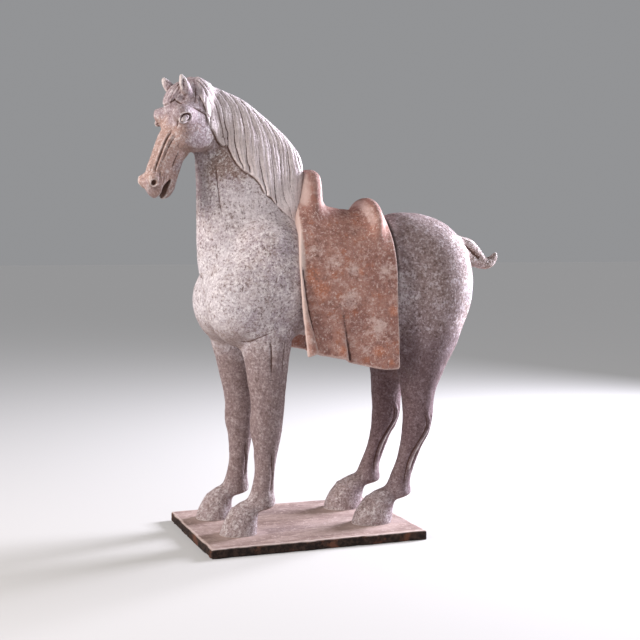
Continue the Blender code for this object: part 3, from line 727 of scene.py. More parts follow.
def skin(field, lo, hi, grain):
    """Vertices and quads of the field's zero surface."""
    corner = np.array(lo, float)
    counts = [int((h - l) / grain) + 2 for l, h in zip(lo, hi)]
    value = sampled(field, corner, counts, grain)
    inside = value < 0
    total = np.zeros((*counts, 3))
    share = np.zeros(counts)
    crossings = []
    for axis in range(3):
        first = [slice(None)] * 3
        second = [slice(None)] * 3
        first[axis], second[axis] = slice(0, -1), slice(1, None)
        found = np.argwhere(inside[tuple(first)] != inside[tuple(second)])
        ends = found.copy()
        ends[:, axis] += 1
        a, b = value[tuple(found.T)], value[tuple(ends.T)]
        place = found.astype(float)
        place[:, axis] += a / (a - b)
        others = [k for k in range(3) if k != axis]
        around = []
        for u, v in ((0, 0), (-1, 0), (-1, -1), (0, -1)):
            cell = found.copy()
            cell[:, others[0]] += u
            cell[:, others[1]] += v
            np.add.at(total, tuple(cell.T), place)
            np.add.at(share, tuple(cell.T), 1)
            around.append(cell)
        leaving = inside[tuple(found.T)]
        crossings.append((around, leaving if axis != 1 else ~leaving))
    used = share > 0
    number = np.full(counts, -1)
    number[used] = np.arange(used.sum())
    vertices = corner + total[used] / share[used][:, None] * grain
    quads = []
    for around, flip in crossings:
        ring = np.stack([number[tuple(cell.T)] for cell in around], 1)
        ring[~flip] = ring[~flip][:, ::-1]
        quads.append(ring)
    return vertices, np.vstack(quads)


# %% A mesh object from a skin
def clay(name, vertices, quads):
    """A smooth-shaded mesh, still in millimetres."""
    mesh = bpy.data.meshes.new(name)
    mesh.vertices.add(len(vertices))
    mesh.vertices.foreach_set("co", vertices.ravel())
    mesh.loops.add(quads.size)
    mesh.loops.foreach_set("vertex_index", quads.ravel().astype(np.int32))
    mesh.polygons.add(len(quads))
    mesh.polygons.foreach_set("loop_start", np.arange(0, quads.size, 4, dtype=np.int32))
    mesh.update(calc_edges=True)
    mesh.validate()
    mesh.polygons.foreach_set("use_smooth", np.ones(len(mesh.polygons), bool))
    piece = bpy.data.objects.new(name, mesh)
    bpy.context.scene.collection.objects.link(piece)
    return piece


def applied(piece, kind, **settings):
    """Adds a modifier, applies it and leaves its result as the mesh."""
    modifier = piece.modifiers.new(kind.lower(), kind)
    for setting, value in settings.items():
        setattr(modifier, setting, value)
    graph = bpy.context.evaluated_depsgraph_get()
    mesh = bpy.data.meshes.new_from_object(piece.evaluated_get(graph))
    piece.modifiers.clear()
    old, piece.data = piece.data, mesh
    bpy.data.meshes.remove(old)


def places(piece):
    """Where the vertices are, one row each."""
    co = np.empty(len(piece.data.vertices) * 3)
    piece.data.vertices.foreach_get("co", co)
    return co.reshape(-1, 3)


def outward(piece):
    """Which way the skin faces at each vertex."""
    normal = np.empty(len(piece.data.vertices) * 3)
    piece.data.vertices.foreach_get("normal", normal)
    return normal.reshape(-1, 3)


def put(piece, points):
    """Moves the vertices to the points."""
    piece.data.vertices.foreach_set("co", points.ravel())
    piece.data.update()


# %% What each vertex knows of its surroundings
def neighbours_mean(piece, values, rounds):
    """The values, smoothed over the mesh by averaging along its edges."""
    edges = np.empty(len(piece.data.edges) * 2, np.int32)
    piece.data.edges.foreach_get("vertices", edges)
    a, b = edges.reshape(-1, 2).T
    count = len(piece.data.vertices)
    degree = np.bincount(a, minlength=count) + np.bincount(b, minlength=count)
    for _ in range(rounds):
        total = np.stack(
            [np.bincount(a, v[b], count) + np.bincount(b, v[a], count) for v in values.reshape(count, -1).T], 1
        )
        values = total / np.maximum(degree, 1)[:, None]
    return values


def keep(piece, name, values):
    """Stores one number per vertex, for the material to read."""
    attribute = piece.data.attributes.new(name, "FLOAT", "POINT")
    attribute.data.foreach_set("value", values.astype(np.float32))


def hollows(piece, rounds):
    """How deep each vertex lies below its surroundings, in millimetres: positive in grooves, negative on edges."""
    points = places(piece)
    return ((neighbours_mean(piece, points, rounds) - points) * outward(piece)).sum(1)


print("a groove counts as positive, an edge as negative")

# %% [markdown]
# Now the horse itself. The skin is made at 1.5 mm and smoothed where it is plain. The faces of the head and mane
# are cut in four and brought back onto the field, so that they can carry strokes 2 mm wide. The strokes then
# move the skin along its normals, and a decimation thins the plain stretches of body again. What the material
# needs to know of grooves and edges is stored before that, while the mesh is still even.

# %% The horse's skin
HORSE_GRAIN = 1.5
HORSE_SPACE = ((-236, -90, 5), (316, 92, 616))
MOST_TRIANGLES = 194000
SMOOTHING_ROUNDS = 8


def horse_distance(points):
    """The whole horse as one skin, cut flat where it stands on the slab."""
    d = trunk_distance(points)
    fore, hind = leg_distance(points)
    d = join(join(d, fore, 6), hind, 16)
    d = join(d, distance(points, TAIL), 10)
    d = join(d, head_distance(points), 8)
    return np.maximum(d, SLAB_TOP - points[:, 2])


def detailed(points):
    """One on the head and mane, zero on the plain body."""
    return ramp(points[:, 2], 405, 420) * ramp(30 - points[:, 0], 0, 10)


horse = clay("horse_clay", *skin(horse_distance, *HORSE_SPACE, HORSE_GRAIN))
points = places(horse)
standing = ramp(points[:, 2], 13.2, 16)
plain = (1 - detailed(points)) * standing
put(horse, points + (neighbours_mean(horse, points, SMOOTHING_ROUNDS) - points) * plain[:, None])
print("horse skin:", len(horse.data.vertices), "vertices")


# %% Finer faces on the head and mane
def cut_in_four(piece, chosen):
    """Cuts each chosen face into four."""
    work = bmesh.new()
    work.from_mesh(piece.data)
    edges = {edge for face, wanted in zip(work.faces, chosen) if wanted for edge in face.edges}
    bmesh.ops.subdivide_edges(work, edges=list(edges), cuts=1, use_grid_fill=True)
    work.to_mesh(piece.data)
    work.free()


centres = np.empty(len(horse.data.polygons) * 3)
horse.data.polygons.foreach_get("center", centres)
cut_in_four(horse, detailed(centres.reshape(-1, 3)) > 0.5)
points, normal = places(horse), outward(horse)
fine = np.flatnonzero(detailed(points) > 0.5)
for _ in range(2):
    points[fine] -= normal[fine] * np.clip(horse_distance(points[fine]), -0.6, 0.6)[:, None]
put(horse, points)
print("with finer head and mane:", len(horse.data.vertices), "vertices")

# %% Carve the horse
HORSE_WAVES = ((0.40, 16), (0.22, 7), (0.12, 3.4))
points, normal = places(horse), outward(horse)
on_head = (points[:, 0] < HEAD_BACK) & (points[:, 2] > HEAD_FOOT)
straight = unturned(points)
near_side = points.copy()
near_side[:, 1] = -np.abs(points[:, 1])
raised = mane_raise(points)
raised += relief(near_side, [laid(form, horse_distance) for form in BODY_STROKES])
raised += relief(near_side, [laid(form, lambda q: distance(q, TAIL)) for form in TAIL_RIBS + TAIL_HOLLOW])
near_legs = [laid(form, lambda q: np.minimum(*leg_distance(q))) for form in LEG_STROKES]
for side, steps_of_legs in ((-1, ((0.0, 0.0, 0.0), (0.0, 0.0, 0.0))), (1, (FAR_FORE_STEP, FAR_HIND_STEP))):
    on_side = (points[:, 1] * side > 0) & (points[:, 2] < 200)
    for legs, step in zip((on_side & (points[:, 0] < 20), on_side & (points[:, 0] > 60)), steps_of_legs):
        raised[legs] += relief(near_side[legs] - np.array(step), near_legs)
head_strokes = [laid(form, straight_head_distance) for form in HEAD_STROKES + FORELOCK_CUTS + HAIR_CUTS + EAR_RIM]
raised[on_head] += relief(straight[on_head], head_strokes) + hair_step(straight[on_head])
standing = ramp(points[:, 2], 13.5, 20)
raised += standing * waves(points, HORSE_WAVES, 2)
put(horse, points + normal * raised[:, None])
print("carved", round(float(raised.min()), 1), "to", round(float(raised.max()), 1), "mm")

# %% Store what the material needs, then thin the plain stretches
points, normal = places(horse), outward(horse)
REACH = 9.0
# How closely other parts of the horse crowd round each point; the material darkens it there, as earth and as painted
# shade.
keep(horse, "recess_earth_and_shade", np.clip(1 - horse_distance(points + normal * REACH) / REACH, 0, 1))
finer = detailed(points)
keep(horse, "hollow", hollows(horse, 8) * (1 - finer) + hollows(horse, 22) * finer)
keep(horse, "fine_hollow", hollows(horse, 3) * (1 - finer) + hollows(horse, 6) * finer)
keep(horse, "mane", mane_share(points))
keep(horse, "head", ramp(HEAD_BACK - points[:, 0], 0, 20) * ramp(points[:, 2] - HEAD_FOOT, 0, 10))
triangles = 2 * len(horse.data.polygons)
applied(horse, "DECIMATE", ratio=min(1.0, MOST_TRIANGLES / triangles))
print("horse:", len(horse.data.polygons), "faces")

# %% [markdown]
# The saddle is one sheet of clay with its cloth, pressed over the back. On top it is thick, with a pommel in
# front and a crescent cantle behind. The panels hang clear of the flanks. The front border is rolled
# outwards, and one pleat opens towards the hem. A cloth simulation would fold it softly. The potter's cloth is
# stiff and even in its thickness, so it is the space between two bent sheets, trimmed at its edges.

# %% The saddle and its cloth
CLOTH_HALF_WIDTH = 78.0
CLOTH_THICKNESS = 6.0
CLOTH_SPRING = 334.0
SEAT_TOP = smooth([(-20, 441), (36, 439), (64, 435), (95, 433), (122, 430)], 2)
POMMEL = limb((15, 0, 432, 19, 46), (16, 0, 450, 18, 43), (18, 0, 464, 16, 38), (19.5, 0, 473, 14, 30))
CANTLE = lump((98, 0, 404), (19, 64, 47), lean=6)
BAND = limb(
    (-17.2, -78, 360, 1.0, 1.5),
    (-15.8, -79, 336, 2.0, 3.0),
    (-13.8, -79.5, 316, 2.7, 3.8),
    (-11.6, -80, 297, 3.8, 4.2),
    (-9.0, -80.5, 284, 4.7, 4.4),
    (-6.4, -81, 268, 6.0, 4.6),
    (-3.2, -81.5, 252, 7.2, 4.8),
    (-1.6, -81.5, 238, 7.6, 4.8),
    steps=2,
)
BAND_CUT = (245.5, 0.34)
FRONT_EDGE = smooth([(230, 9), (262, 0), (300, -9), (345, -17), (385, -15), (435, -6), (490, -3)], 2)
REAR_EDGE = smooth([(225, 122), (280, 120), (330, 118), (440, 118)], 2)
HEM = smooth([(-10, 247), (26, 241), (44, 237), (50, 233), (80, 226), (100, 222), (125, 222)], 2)


def cloth_folds(points):
    """How far the folds push the hanging cloth out."""
    x, z = points[:, 0], points[:, 2]
    line = 39 + (296 - z) * 0.16
    behind = ramp(x - line, -1.5, 1.5)
    fold = ramp(x - line, -34, -2) * (1 - behind)
    drop = ramp(320 - z, 0, 80)
    return drop * (4.0 * fold - 1.0 * np.exp(-(((x - line - 3) / 3.0) ** 2))) + 1.2 * drop * np.sin(x / 13.0)


def saddle_distance(points):
    """The saddle and its cloth: a bent sheet, trimmed at its edges, with the forms that stand on it."""
    x, z = points[:, 0], points[:, 2]
    side = np.abs(points[:, 1])
    half_width = CLOTH_HALF_WIDTH + cloth_folds(points)
    height = np.interp(x, SEAT_TOP[:, 0], SEAT_TOP[:, 1]) - CLOTH_SPRING
    rise = np.maximum(z - CLOTH_SPRING, 0) / height
    q = side / half_width
    near = np.sqrt(q * q + rise * rise)
    slope = np.sqrt((q / half_width) ** 2 + (rise / height) ** 2) / np.maximum(near, 1e-6)
    outer = np.where(z < CLOTH_SPRING, side - half_width, (near - 1) / np.maximum(slope, 1e-3))
    thickness = CLOTH_THICKNESS + 30 * ramp(z, 345, 400)
    d = -join(-outer, outer + thickness, 1.5)
    d = join(d, distance(points, POMMEL), 16)
    d = join(d, distance(points, CANTLE), 10)
    front = np.interp(z, FRONT_EDGE[:, 0], FRONT_EDGE[:, 1]) - x
    rear = x - np.interp(z, REAR_EDGE[:, 0], REAR_EDGE[:, 1])
    hem = np.interp(x, HEM[:, 0], HEM[:, 1]) - z
    edge = -join(-np.maximum(front, rear), -hem, 5)
    d = -join(-d, -edge, 1.8)
    near_side = np.stack([x, -side, z], 1)
    band = np.maximum(distance(near_side, BAND), BAND_CUT[0] + BAND_CUT[1] * x - z)
    return join(d, band, 1.2)


SADDLE_GRAIN = 1.42
SADDLE_SPACE = ((-40, -96, 208), (138, 97, 500))
SADDLE_WAVES = ((0.45, 22), (0.24, 7), (0.2, 3.2))
saddle = clay("saddle_clay", *skin(saddle_distance, *SADDLE_SPACE, SADDLE_GRAIN))
points = places(saddle)
calm = ramp(points[:, 2], 392, 412)
put(saddle, points + (neighbours_mean(saddle, points, SMOOTHING_ROUNDS) - points) * calm[:, None])
points, normal = places(saddle), outward(saddle)
put(saddle, points + normal * waves(points, SADDLE_WAVES, 12)[:, None])
beside = places(horse)
# Painted shadow: how near the horse's skin lies under the rear part of the saddle cloth, where the gap between them is
# in shade.
keep(horse, "painted_gap_shadow", np.clip(1 - saddle_distance(beside) / 14, 0, 1) * ramp(beside[:, 0], 60, 90))
keep(saddle, "hollow", hollows(saddle, 10))
keep(saddle, "fine_hollow", hollows(saddle, 3))
print("saddle:", len(saddle.data.polygons), "faces")

# %% [markdown]
# The plinth is a slab cut from rolled clay. Its edges are knocked and worn, and slip is smeared from each hoof
# onto its top. A grid-made box would show straight edges, so it is a field too, with noise in its edges.

# %% The plinth
SLAB = (147.0, 113.0, SLAB_TOP)
HOOF_SMEARS = [(-94, -50, 30, 24), (-100, 50, 30, 24), (94, -50, 36, 24), (90, 50, 34, 24)]


def plinth_distance(points):
    """The slab, with edges that noise has worn."""
    x, y, z = points.T
    worn = 1.3 * noise(points * np.array([1.0, 1.0, 0.6]), 17, 21) + 0.6 * noise(points, 6, 22)
    sides = np.maximum(np.abs(x) - SLAB[0], np.abs(y) - SLAB[1]) + 1.2 + worn
    d = -join(-sides, SLAB[2] - 0.2 - z, 2.6)
    d = -join(-d, z - 0.0, 1.2)
    return d


PLINTH_GRAIN = 1.5
PLINTH_SPACE = ((-152, -118, -4), (152, 118, 19))
PLINTH_WAVES = ((0.25, 25), (0.15, 7))
SMEAR_HEIGHT = 1.3
plinth = clay("plinth_clay", *skin(plinth_distance, *PLINTH_SPACE, PLINTH_GRAIN))
points, normal = places(plinth), outward(plinth)
top = ramp(normal[:, 2], 0.4, 0.9)
rise = waves(points, PLINTH_WAVES, 23)
for x, y, long, wide in HOOF_SMEARS:
    ring = np.sqrt(((points[:, 0] - x) / long) ** 2 + ((points[:, 1] - y) / wide) ** 2)
    rise += SMEAR_HEIGHT * (1 - ramp(ring + 0.25 * noise(points, 9, 25), 0.75, 1.5))
put(plinth, points + np.array([0, 0, 1.0]) * (top * rise)[:, None])
keep(plinth, "hollow", hollows(plinth, 10))
keep(plinth, "fine_hollow", hollows(plinth, 3))
print("plinth:", len(plinth.data.polygons), "faces")

# %% [markdown]
# The meshes leave the millimetre world here and take their places in the frame, in metres. The horse stands
# a third of a millimetre over the slab, as in the frame.

# %% Into metres, and onto the frame
STAND = 0.3
for piece, node in ((horse, "horse"), (saddle, "saddle"), (plinth, "plinth")):
    lift = 0.0 if node == "plinth" else STAND
    put(piece, (places(piece) + np.array([0, 0, lift])) * MM)
    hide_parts(node)
    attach(piece, "root")
    size = places(piece).max(0) - places(piece).min(0)
    solid = [round((b - a) / MM, 1) for a, b in zip(*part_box(node))]
    print(node, "is", (size / MM).round(1), "mm; its solid is", solid)

# %% [markdown]
# Colours are written as sRGB hex, as a colour picker gives them, and one function turns them to linear light,
# which is what a shader works in. A second function adds a node with its settings and links. A third lays one
# coat of colour over another where a pattern is strong, as slip, paint and dirt lie on each other.
#
# Fired clay has an index of refraction near 1.5. Its pits scatter what it reflects, so its specular level is low
# and its roughness near 0.9. The place is in millimetres, so a pattern's scale is one over its real size: crust
# 9 mm wide has the scale 1 / 9. Real specks are under a millimetre, less than a pixel of the picture, so they are
# drawn 3 mm wide, as coarse as they need to be to show.


# %% Colour, nodes and coats
def linear(hexcode):
    """An sRGB hex colour as linear red, green, blue and alpha."""
    channels = [int(hexcode[k : k + 2], 16) / 255 for k in (1, 3, 5)]
    return (*[c / 12.92 if c <= 0.04045 else ((c + 0.055) / 1.055) ** 2.4 for c in channels], 1.0)


def add(tree, kind, inputs=None, out=0, **settings):
    """Adds a node. The inputs are values, hex colours or the sockets they are linked from."""
    made = tree.nodes.new("ShaderNode" + kind)
    for name, value in settings.items():
        setattr(made, name, value)
    for key, value in (inputs or {}).items():
        if isinstance(value, bpy.types.NodeSocket):
            tree.links.new(value, made.inputs[key])
        else:
            made.inputs[key].default_value = linear(value) if isinstance(value, str) else value
    return made.outputs[out]


def coat(tree, under, over, where, low, high, most=1.0, blend="MIX"):
    """The over colour on the under colour, from none where the pattern is low to the most where it is high."""
    limits = {"Value": where, "From Min": low, "From Max": high, "To Max": most}
    share = add(tree, "MapRange", limits, interpolation_type="SMOOTHSTEP")
    return add(tree, "Mix", {0: share, 6: under, 7: over}, out=2, data_type="RGBA", blend_type=blend)


def open_material(name, roughness):
    """A material with its tree, its shader, the place in millimetres and the stored hollows."""
    material = bpy.data.materials.new(name)
    material.use_nodes = True
    tree = material.node_tree
    shader = tree.nodes["Principled BSDF"]
    shader.inputs["Roughness"].default_value = roughness
    shader.inputs["IOR"].default_value = 1.5
    shader.inputs["Specular IOR Level"].default_value = 0.2
    place = add(tree, "VectorMath", {0: add(tree, "TexCoord", out="Object"), "Scale": 1 / MM}, operation="SCALE")
    stored = {k: add(tree, "Attribute", out="Fac", attribute_name=k) for k in ("recess_earth_and_shade", "hollow", "fine_hollow")}
    return material, tree, shader, place, stored


def dress(piece, material):
    """Gives the whole piece one material."""
    piece.data.materials.clear()
    piece.data.materials.append(material)


print("slip white in linear light:", [round(c, 3) for c in linear("#d9cbc4")[:3]])

# %% [markdown]
# The body is earthenware under pale slip: white clay thinned with water and brushed on. It fired matt and chalky,
# so it has no gloss and every pit shows. In the ground it took up brown earth in grooves and pits, lavender-grey
# bloom and a fine crust. The slip is whitest on the chest. The head is tanner, and the legs and rump lost most
# of theirs, so that the browner clay shows there. A wandering copy of the place gives these regions soft,
# ragged borders.

# %% Slip-coated earthenware: its regions
slip, tree, shader, place, stored = open_material("slip_coated_earthenware", 0.88)
mane = add(tree, "Attribute", out="Fac", attribute_name="mane")
head = add(tree, "Attribute", out="Fac", attribute_name="head")
facing = add(tree, "SeparateXYZ", {0: add(tree, "NewGeometry", out="Normal")}, out="Z")
drift = add(tree, "TexNoise", {"Vector": place, "Scale": 1 / 30, "Detail": 5, "Roughness": 0.65}, out="Color")
drift = add(tree, "VectorMath", {0: drift, 1: (0.5, 0.5, 0.5)}, operation="SUBTRACT")
wander = add(tree, "VectorMath", {0: drift, 1: (110, 110, 110), 2: place}, operation="MULTIPLY_ADD")
where = add(tree, "SeparateXYZ", {0: wander}).node.outputs
blotch = add(tree, "TexNoise", {"Vector": place, "Scale": 1 / 24, "Detail": 7, "Roughness": 0.68})

colour = coat(tree, "#bfb2b4", "#ad9fa5", blotch, 0.44, 0.56)
colour = coat(tree, colour, "#a08d87", where["X"], 95, 165, 0.9)
colour = coat(tree, colour, "#a39292", where["Z"], 285, 225, 0.8)
REGIONS = [
    ((-112, 0, 318), 105, 60, "#c3bbc0", 0.8),  # the breast
    ((-90, 0, 500), 56, 30, "#83695f", 0.85),  # the throat
    # the region behind the rump is lavender bloom, and also a painted highlight along the rump's rear edge
    ((222, 0, 318), 66, 34, "#a9a2ae", 0.8),  # behind the rump
    ((-30, 0, 380), 60, 30, "#c8bcc1", 0.5),  # the shoulder
    ((-60, 0, 430), 75, 40, "#d3c8cc", 0.7),  # the side of the neck
]
for middle, far_reach, near_reach, shade, most in REGIONS:
    away = add(tree, "VectorMath", {0: wander, 1: middle}, out="Value", operation="DISTANCE")
    colour = coat(tree, colour, shade, away, far_reach, near_reach, most)
colour = coat(tree, colour, "#9d8a8f", head, 0.0, 1.0, 0.85)
nose = add(tree, "VectorMath", {0: wander, 1: (-196, -28, 500)}, out="Value", operation="DISTANCE")
colour = coat(tree, colour, "#ab8c82", nose, 62, 34, 0.9)
print(len(REGIONS), "regions with borders that wander, and blotches 24 mm wide")

# %% Its mottling, flecks and ticks
ground = colour
other = add(tree, "VectorMath", {0: place, 1: (310, 70, 190)}, operation="ADD")
other = add(tree, "TexNoise", {"Vector": other, "Scale": 1 / 34, "Detail": 7, "Roughness": 0.7})
crust = add(tree, "TexNoise", {"Vector": place, "Scale": 1 / 9, "Detail": 9, "Roughness": 0.8})
speck = add(tree, "TexNoise", {"Vector": place, "Scale": 1 / 3.0, "Detail": 6, "Roughness": 0.75})
upright = add(tree, "VectorMath", {0: place, 1: (1.0, 1.0, 0.3)}, operation="MULTIPLY")
tick = add(tree, "TexNoise", {"Vector": upright, "Scale": 1 / 4.2, "Detail": 3, "Roughness": 0.6})
colour = coat(tree, colour, "#93817c", other, 0.53, 0.64, 0.4)
colour = coat(tree, colour, "#e9e2e3", crust, 0.52, 0.60, 0.6)
colour = coat(tree, colour, "#857069", crust, 0.47, 0.39, 0.6)
patchy = add(tree, "MapRange", {"Value": other, "From Min": 0.4, "From Max": 0.6, "To Min": 0.96, "To Max": 1.0})
dirty = add(tree, "Math", {0: speck, 1: patchy}, operation="MULTIPLY")
colour = coat(tree, colour, "#5a463f", dirty, 0.525, 0.60, 0.75)
colour = coat(tree, colour, "#f1ecec", dirty, 0.445, 0.39, 0.55)
colour = coat(tree, colour, "#5c4741", tick, 0.66, 0.71, 0.75)
upright = add(tree, "VectorMath", {0: place, 1: (1.0, 0.3, 0.09)}, operation="MULTIPLY")
strands = add(tree, "TexNoise", {"Vector": upright, "Scale": 1 / 4.5, "Detail": 5, "Roughness": 0.65})
colour = coat(tree, colour, "#eee0df", mane, 0.0, 1.0, 0.6)
strands = add(tree, "Math", {0: mane, 1: strands}, operation="MULTIPLY")
colour = coat(tree, colour, "#a39194", strands, 0.50, 0.62, 0.4)
print("crust 9 mm, specks 3 mm, ticks 4 by 14 mm")

# %% Its thin stains of earth, with painted shade on the legs and a painted highlight on the rump's rear edge
# A stain darkens what is under it, so it multiplies: it lies on the legs, the thighs and the rump. On the legs it is
# also painted shade below the belly, and on the rump it fades out before the rear edge to leave a painted highlight
# there.
shank = add(tree, "MapRange", {"Value": where["Z"], "From Min": 45, "From Max": 80, "To Min": 0.35})
below = add(tree, "MapRange", {"Value": where["Z"], "From Min": 285, "From Max": 215})
shank = add(tree, "Math", {0: shank, 1: below}, operation="MULTIPLY")
colour = coat(tree, colour, ground, shank, 0.0, 1.0, 0.28)
colour = coat(tree, colour, "#cdc3c1", shank, 0.0, 1.0, 1.0, "MULTIPLY")
behind = add(tree, "MapRange", {"Value": where["X"], "From Min": 85, "From Max": 150})
# Painted highlight: the rump's stain fades out towards its rear edge, so that edge stays pale.
rim_highlight_fade = add(tree, "MapRange", {"Value": where["X"], "From Min": 242, "From Max": 205})
behind = add(tree, "Math", {0: behind, 1: rim_highlight_fade}, operation="MULTIPLY")
colour = coat(tree, colour, ground, head, 0.0, 1.0, 0.32)
colour = coat(tree, colour, "#d6cfd2", behind, 0.0, 1.0, 1.0, "MULTIPLY")
below = add(tree, "MapRange", {"Value": where["Z"], "From Min": 330, "From Max": 250})
thigh = add(tree, "Math", {0: behind, 1: below}, operation="MULTIPLY")
colour = coat(tree, colour, "#f6f4fa", thigh, 0.0, 1.0, 1.0, "MULTIPLY")
print("stains on the legs, rump and thighs")

# %% Its earth and painted shade, worn edges with a painted highlight, and relief
# Earth and painted shade: skin that faces downwards is made darker and browner.
colour = coat(tree, colour, "#7d6459", facing, -0.15, -0.75, 0.6)
# Earth, and painted shade, where other parts of the horse crowd close.
colour = coat(tree, colour, "#6b4d3f", stored["recess_earth_and_shade"], 0.46, 0.88, 0.75)
colour = coat(tree, colour, "#6f4e3f", stored["hollow"], 0.16, 0.9, 0.7)
colour = coat(tree, colour, "#4b3128", stored["fine_hollow"], 0.06, 0.32, 0.75)
# Painted shadow, nearly black, on the horse in the gap under the cloth's rear edge.
painted_gap_shadow = add(tree, "Attribute", out="Fac", attribute_name="painted_gap_shadow")
colour = coat(tree, colour, "#33241f", painted_gap_shadow, 0.2, 0.6, 0.9)
# Raised edges are made paler: worn edges, and partly a painted highlight on them.
colour = coat(tree, colour, "#e4dad6", stored["hollow"], -0.5, -1.2, 0.5)
tree.links.new(colour, shader.inputs["Base Color"])
skin_height = add(tree, "Math", {0: dirty, 1: -0.7, 2: crust}, operation="MULTIPLY_ADD")
skin_height = add(tree, "Math", {0: tick, 1: -0.4, 2: skin_height}, operation="MULTIPLY_ADD")
bump = add(tree, "Bump", {"Strength": 0.9, "Distance": 1.8 * MM, "Height": skin_height})
tree.links.new(bump, shader.inputs["Normal"])
chalk = add(tree, "MapRange", {"Value": crust, "From Min": 0.4, "From Max": 0.6, "To Min": 0.8, "To Max": 0.95})
tree.links.new(chalk, shader.inputs["Roughness"])
dress(horse, slip)
print(slip.name, "has", len(tree.nodes), "nodes")

# %% [markdown]
# The saddle and cloth were painted over the slip with red earth pigment, ground haematite in glue. It dries
# powdery, and what is left is mauve-brown, with orange-red where the coat is thick, pale pink where it wore to the
# slip, and grey crust from the ground. The clearest orange and the thickest crust are set where they lie on the
# real one: a middle point and a reach, in millimetres.

# %% Red-painted earthenware
painted, tree, shader, place, stored = open_material("red_painted_earthenware", 0.9)
split = add(tree, "SeparateXYZ", {0: place}).node.outputs
facing = add(tree, "SeparateXYZ", {0: add(tree, "NewGeometry", out="Normal")}, out="X")
broad = add(tree, "TexNoise", {"Vector": place, "Scale": 1 / 50, "Detail": 5, "Roughness": 0.6})
blotch = add(tree, "TexNoise", {"Vector": place, "Scale": 1 / 18, "Detail": 7, "Roughness": 0.7})
crust = add(tree, "TexNoise", {"Vector": place, "Scale": 1 / 7.5, "Detail": 9, "Roughness": 0.8})
speck = add(tree, "TexNoise", {"Vector": place, "Scale": 1 / 3.2, "Detail": 6, "Roughness": 0.75})
colour = coat(tree, "#966c62", "#a77c70", broad, 0.42, 0.58)
colour = coat(tree, colour, "#a9674c", blotch, 0.53, 0.64, 0.55)
colour = coat(tree, colour, "#7d5852", blotch, 0.46, 0.37, 0.5)
ORANGE = [((-3, -78, 348), 26), ((11, -79, 329), 26), ((48, -76, 393), 18), ((91, -80, 247), 17), ((112, -79, 300), 16)]
ORANGE += [((40, -80, 250), 14), ((108, -79, 232), 12), ((66, -78, 352), 12), ((20, 78, 340), 24), ((80, 78, 290), 20)]
CRUSTED = [((6, -78, 380), 30), ((29, -78, 366), 30), ((56, -80, 354), 24), ((52, -80, 316), 30), ((90, -80, 280), 34)]
CRUSTED += [((84, -40, 436), 26), ((84, 44, 434), 30), ((100, -79, 356), 26), ((118, -79, 238), 14)]
CRUSTED += [((50, 78, 370), 30), ((70, -80, 250), 16)]
COATS = ((ORANGE, "#bd7758", 0.33, 0.54, 0.75), (CRUSTED, "#d3bab3", 0.37, 0.56, 0.75))
for patches, paint, low, high, most in COATS:
    for middle, reach in patches:
        far = add(tree, "VectorMath", {0: place, 1: middle}, out="Value", operation="DISTANCE")
        limits = {"Value": far, "From Min": 0.2 * reach, "From Max": 1.6 * reach, "To Min": 1.0, "To Max": 0.0}
        ragged = add(tree, "Math", {0: add(tree, "MapRange", limits), 1: crust}, operation="MULTIPLY")
        colour = coat(tree, colour, paint, ragged, low, high, most)
print(len(ORANGE), "orange patches and", len(CRUSTED), "of crust")

# %% Its flecks, edges and relief
colour = coat(tree, colour, "#c9ada4", crust, 0.52, 0.59, 0.6)
colour = coat(tree, colour, "#6e4d46", crust, 0.46, 0.38, 0.5)
colour = coat(tree, colour, "#dcc6bf", speck, 0.555, 0.62, 0.7)
colour = coat(tree, colour, "#5a3d36", speck, 0.43, 0.37, 0.4)
colour = coat(tree, colour, "#8c6c66", split["Z"], 425, 455, 0.6)
rim = add(tree, "MapRange", {"Value": split["X"], "From Min": -5, "From Max": -13})
above = add(tree, "MapRange", {"Value": split["Z"], "From Min": 240, "From Max": 370})
rim = add(tree, "Math", {0: rim, 1: above}, operation="MULTIPLY")
colour = coat(tree, colour, "#cbb9b3", rim, 0.3, 1.0, 0.85)
colour = coat(tree, colour, "#cdb5ae", facing, -0.55, -0.9, 0.75)
colour = coat(tree, colour, "#cdb5ae", facing, 0.55, 0.9, 0.75)
colour = coat(tree, colour, "#5a3a33", stored["hollow"], 0.14, 0.8, 0.75)
colour = coat(tree, colour, "#38231f", stored["fine_hollow"], 0.08, 0.36, 0.7)
colour = coat(tree, colour, "#d3bdb5", stored["hollow"], -0.3, -0.9, 0.5)
tree.links.new(colour, shader.inputs["Base Color"])
paint_height = add(tree, "Math", {0: crust, 1: speck}, operation="ADD")
bump = add(tree, "Bump", {"Strength": 0.9, "Distance": 1.6 * MM, "Height": paint_height})
tree.links.new(bump, shader.inputs["Normal"])
powder = add(tree, "MapRange", {"Value": speck, "From Min": 0.4, "From Max": 0.6, "To Min": 0.82, "To Max": 0.96})
tree.links.new(powder, shader.inputs["Roughness"])
dress(saddle, painted)
print(painted.name, "has", len(tree.nodes), "nodes")

# %% [markdown]
# The slab was never slipped on its sides, where the fired clay has gone nearly black with earth. Its top carries
# thin slip, rubbed off in streaks that run along it, with a pale worn line round the edge.

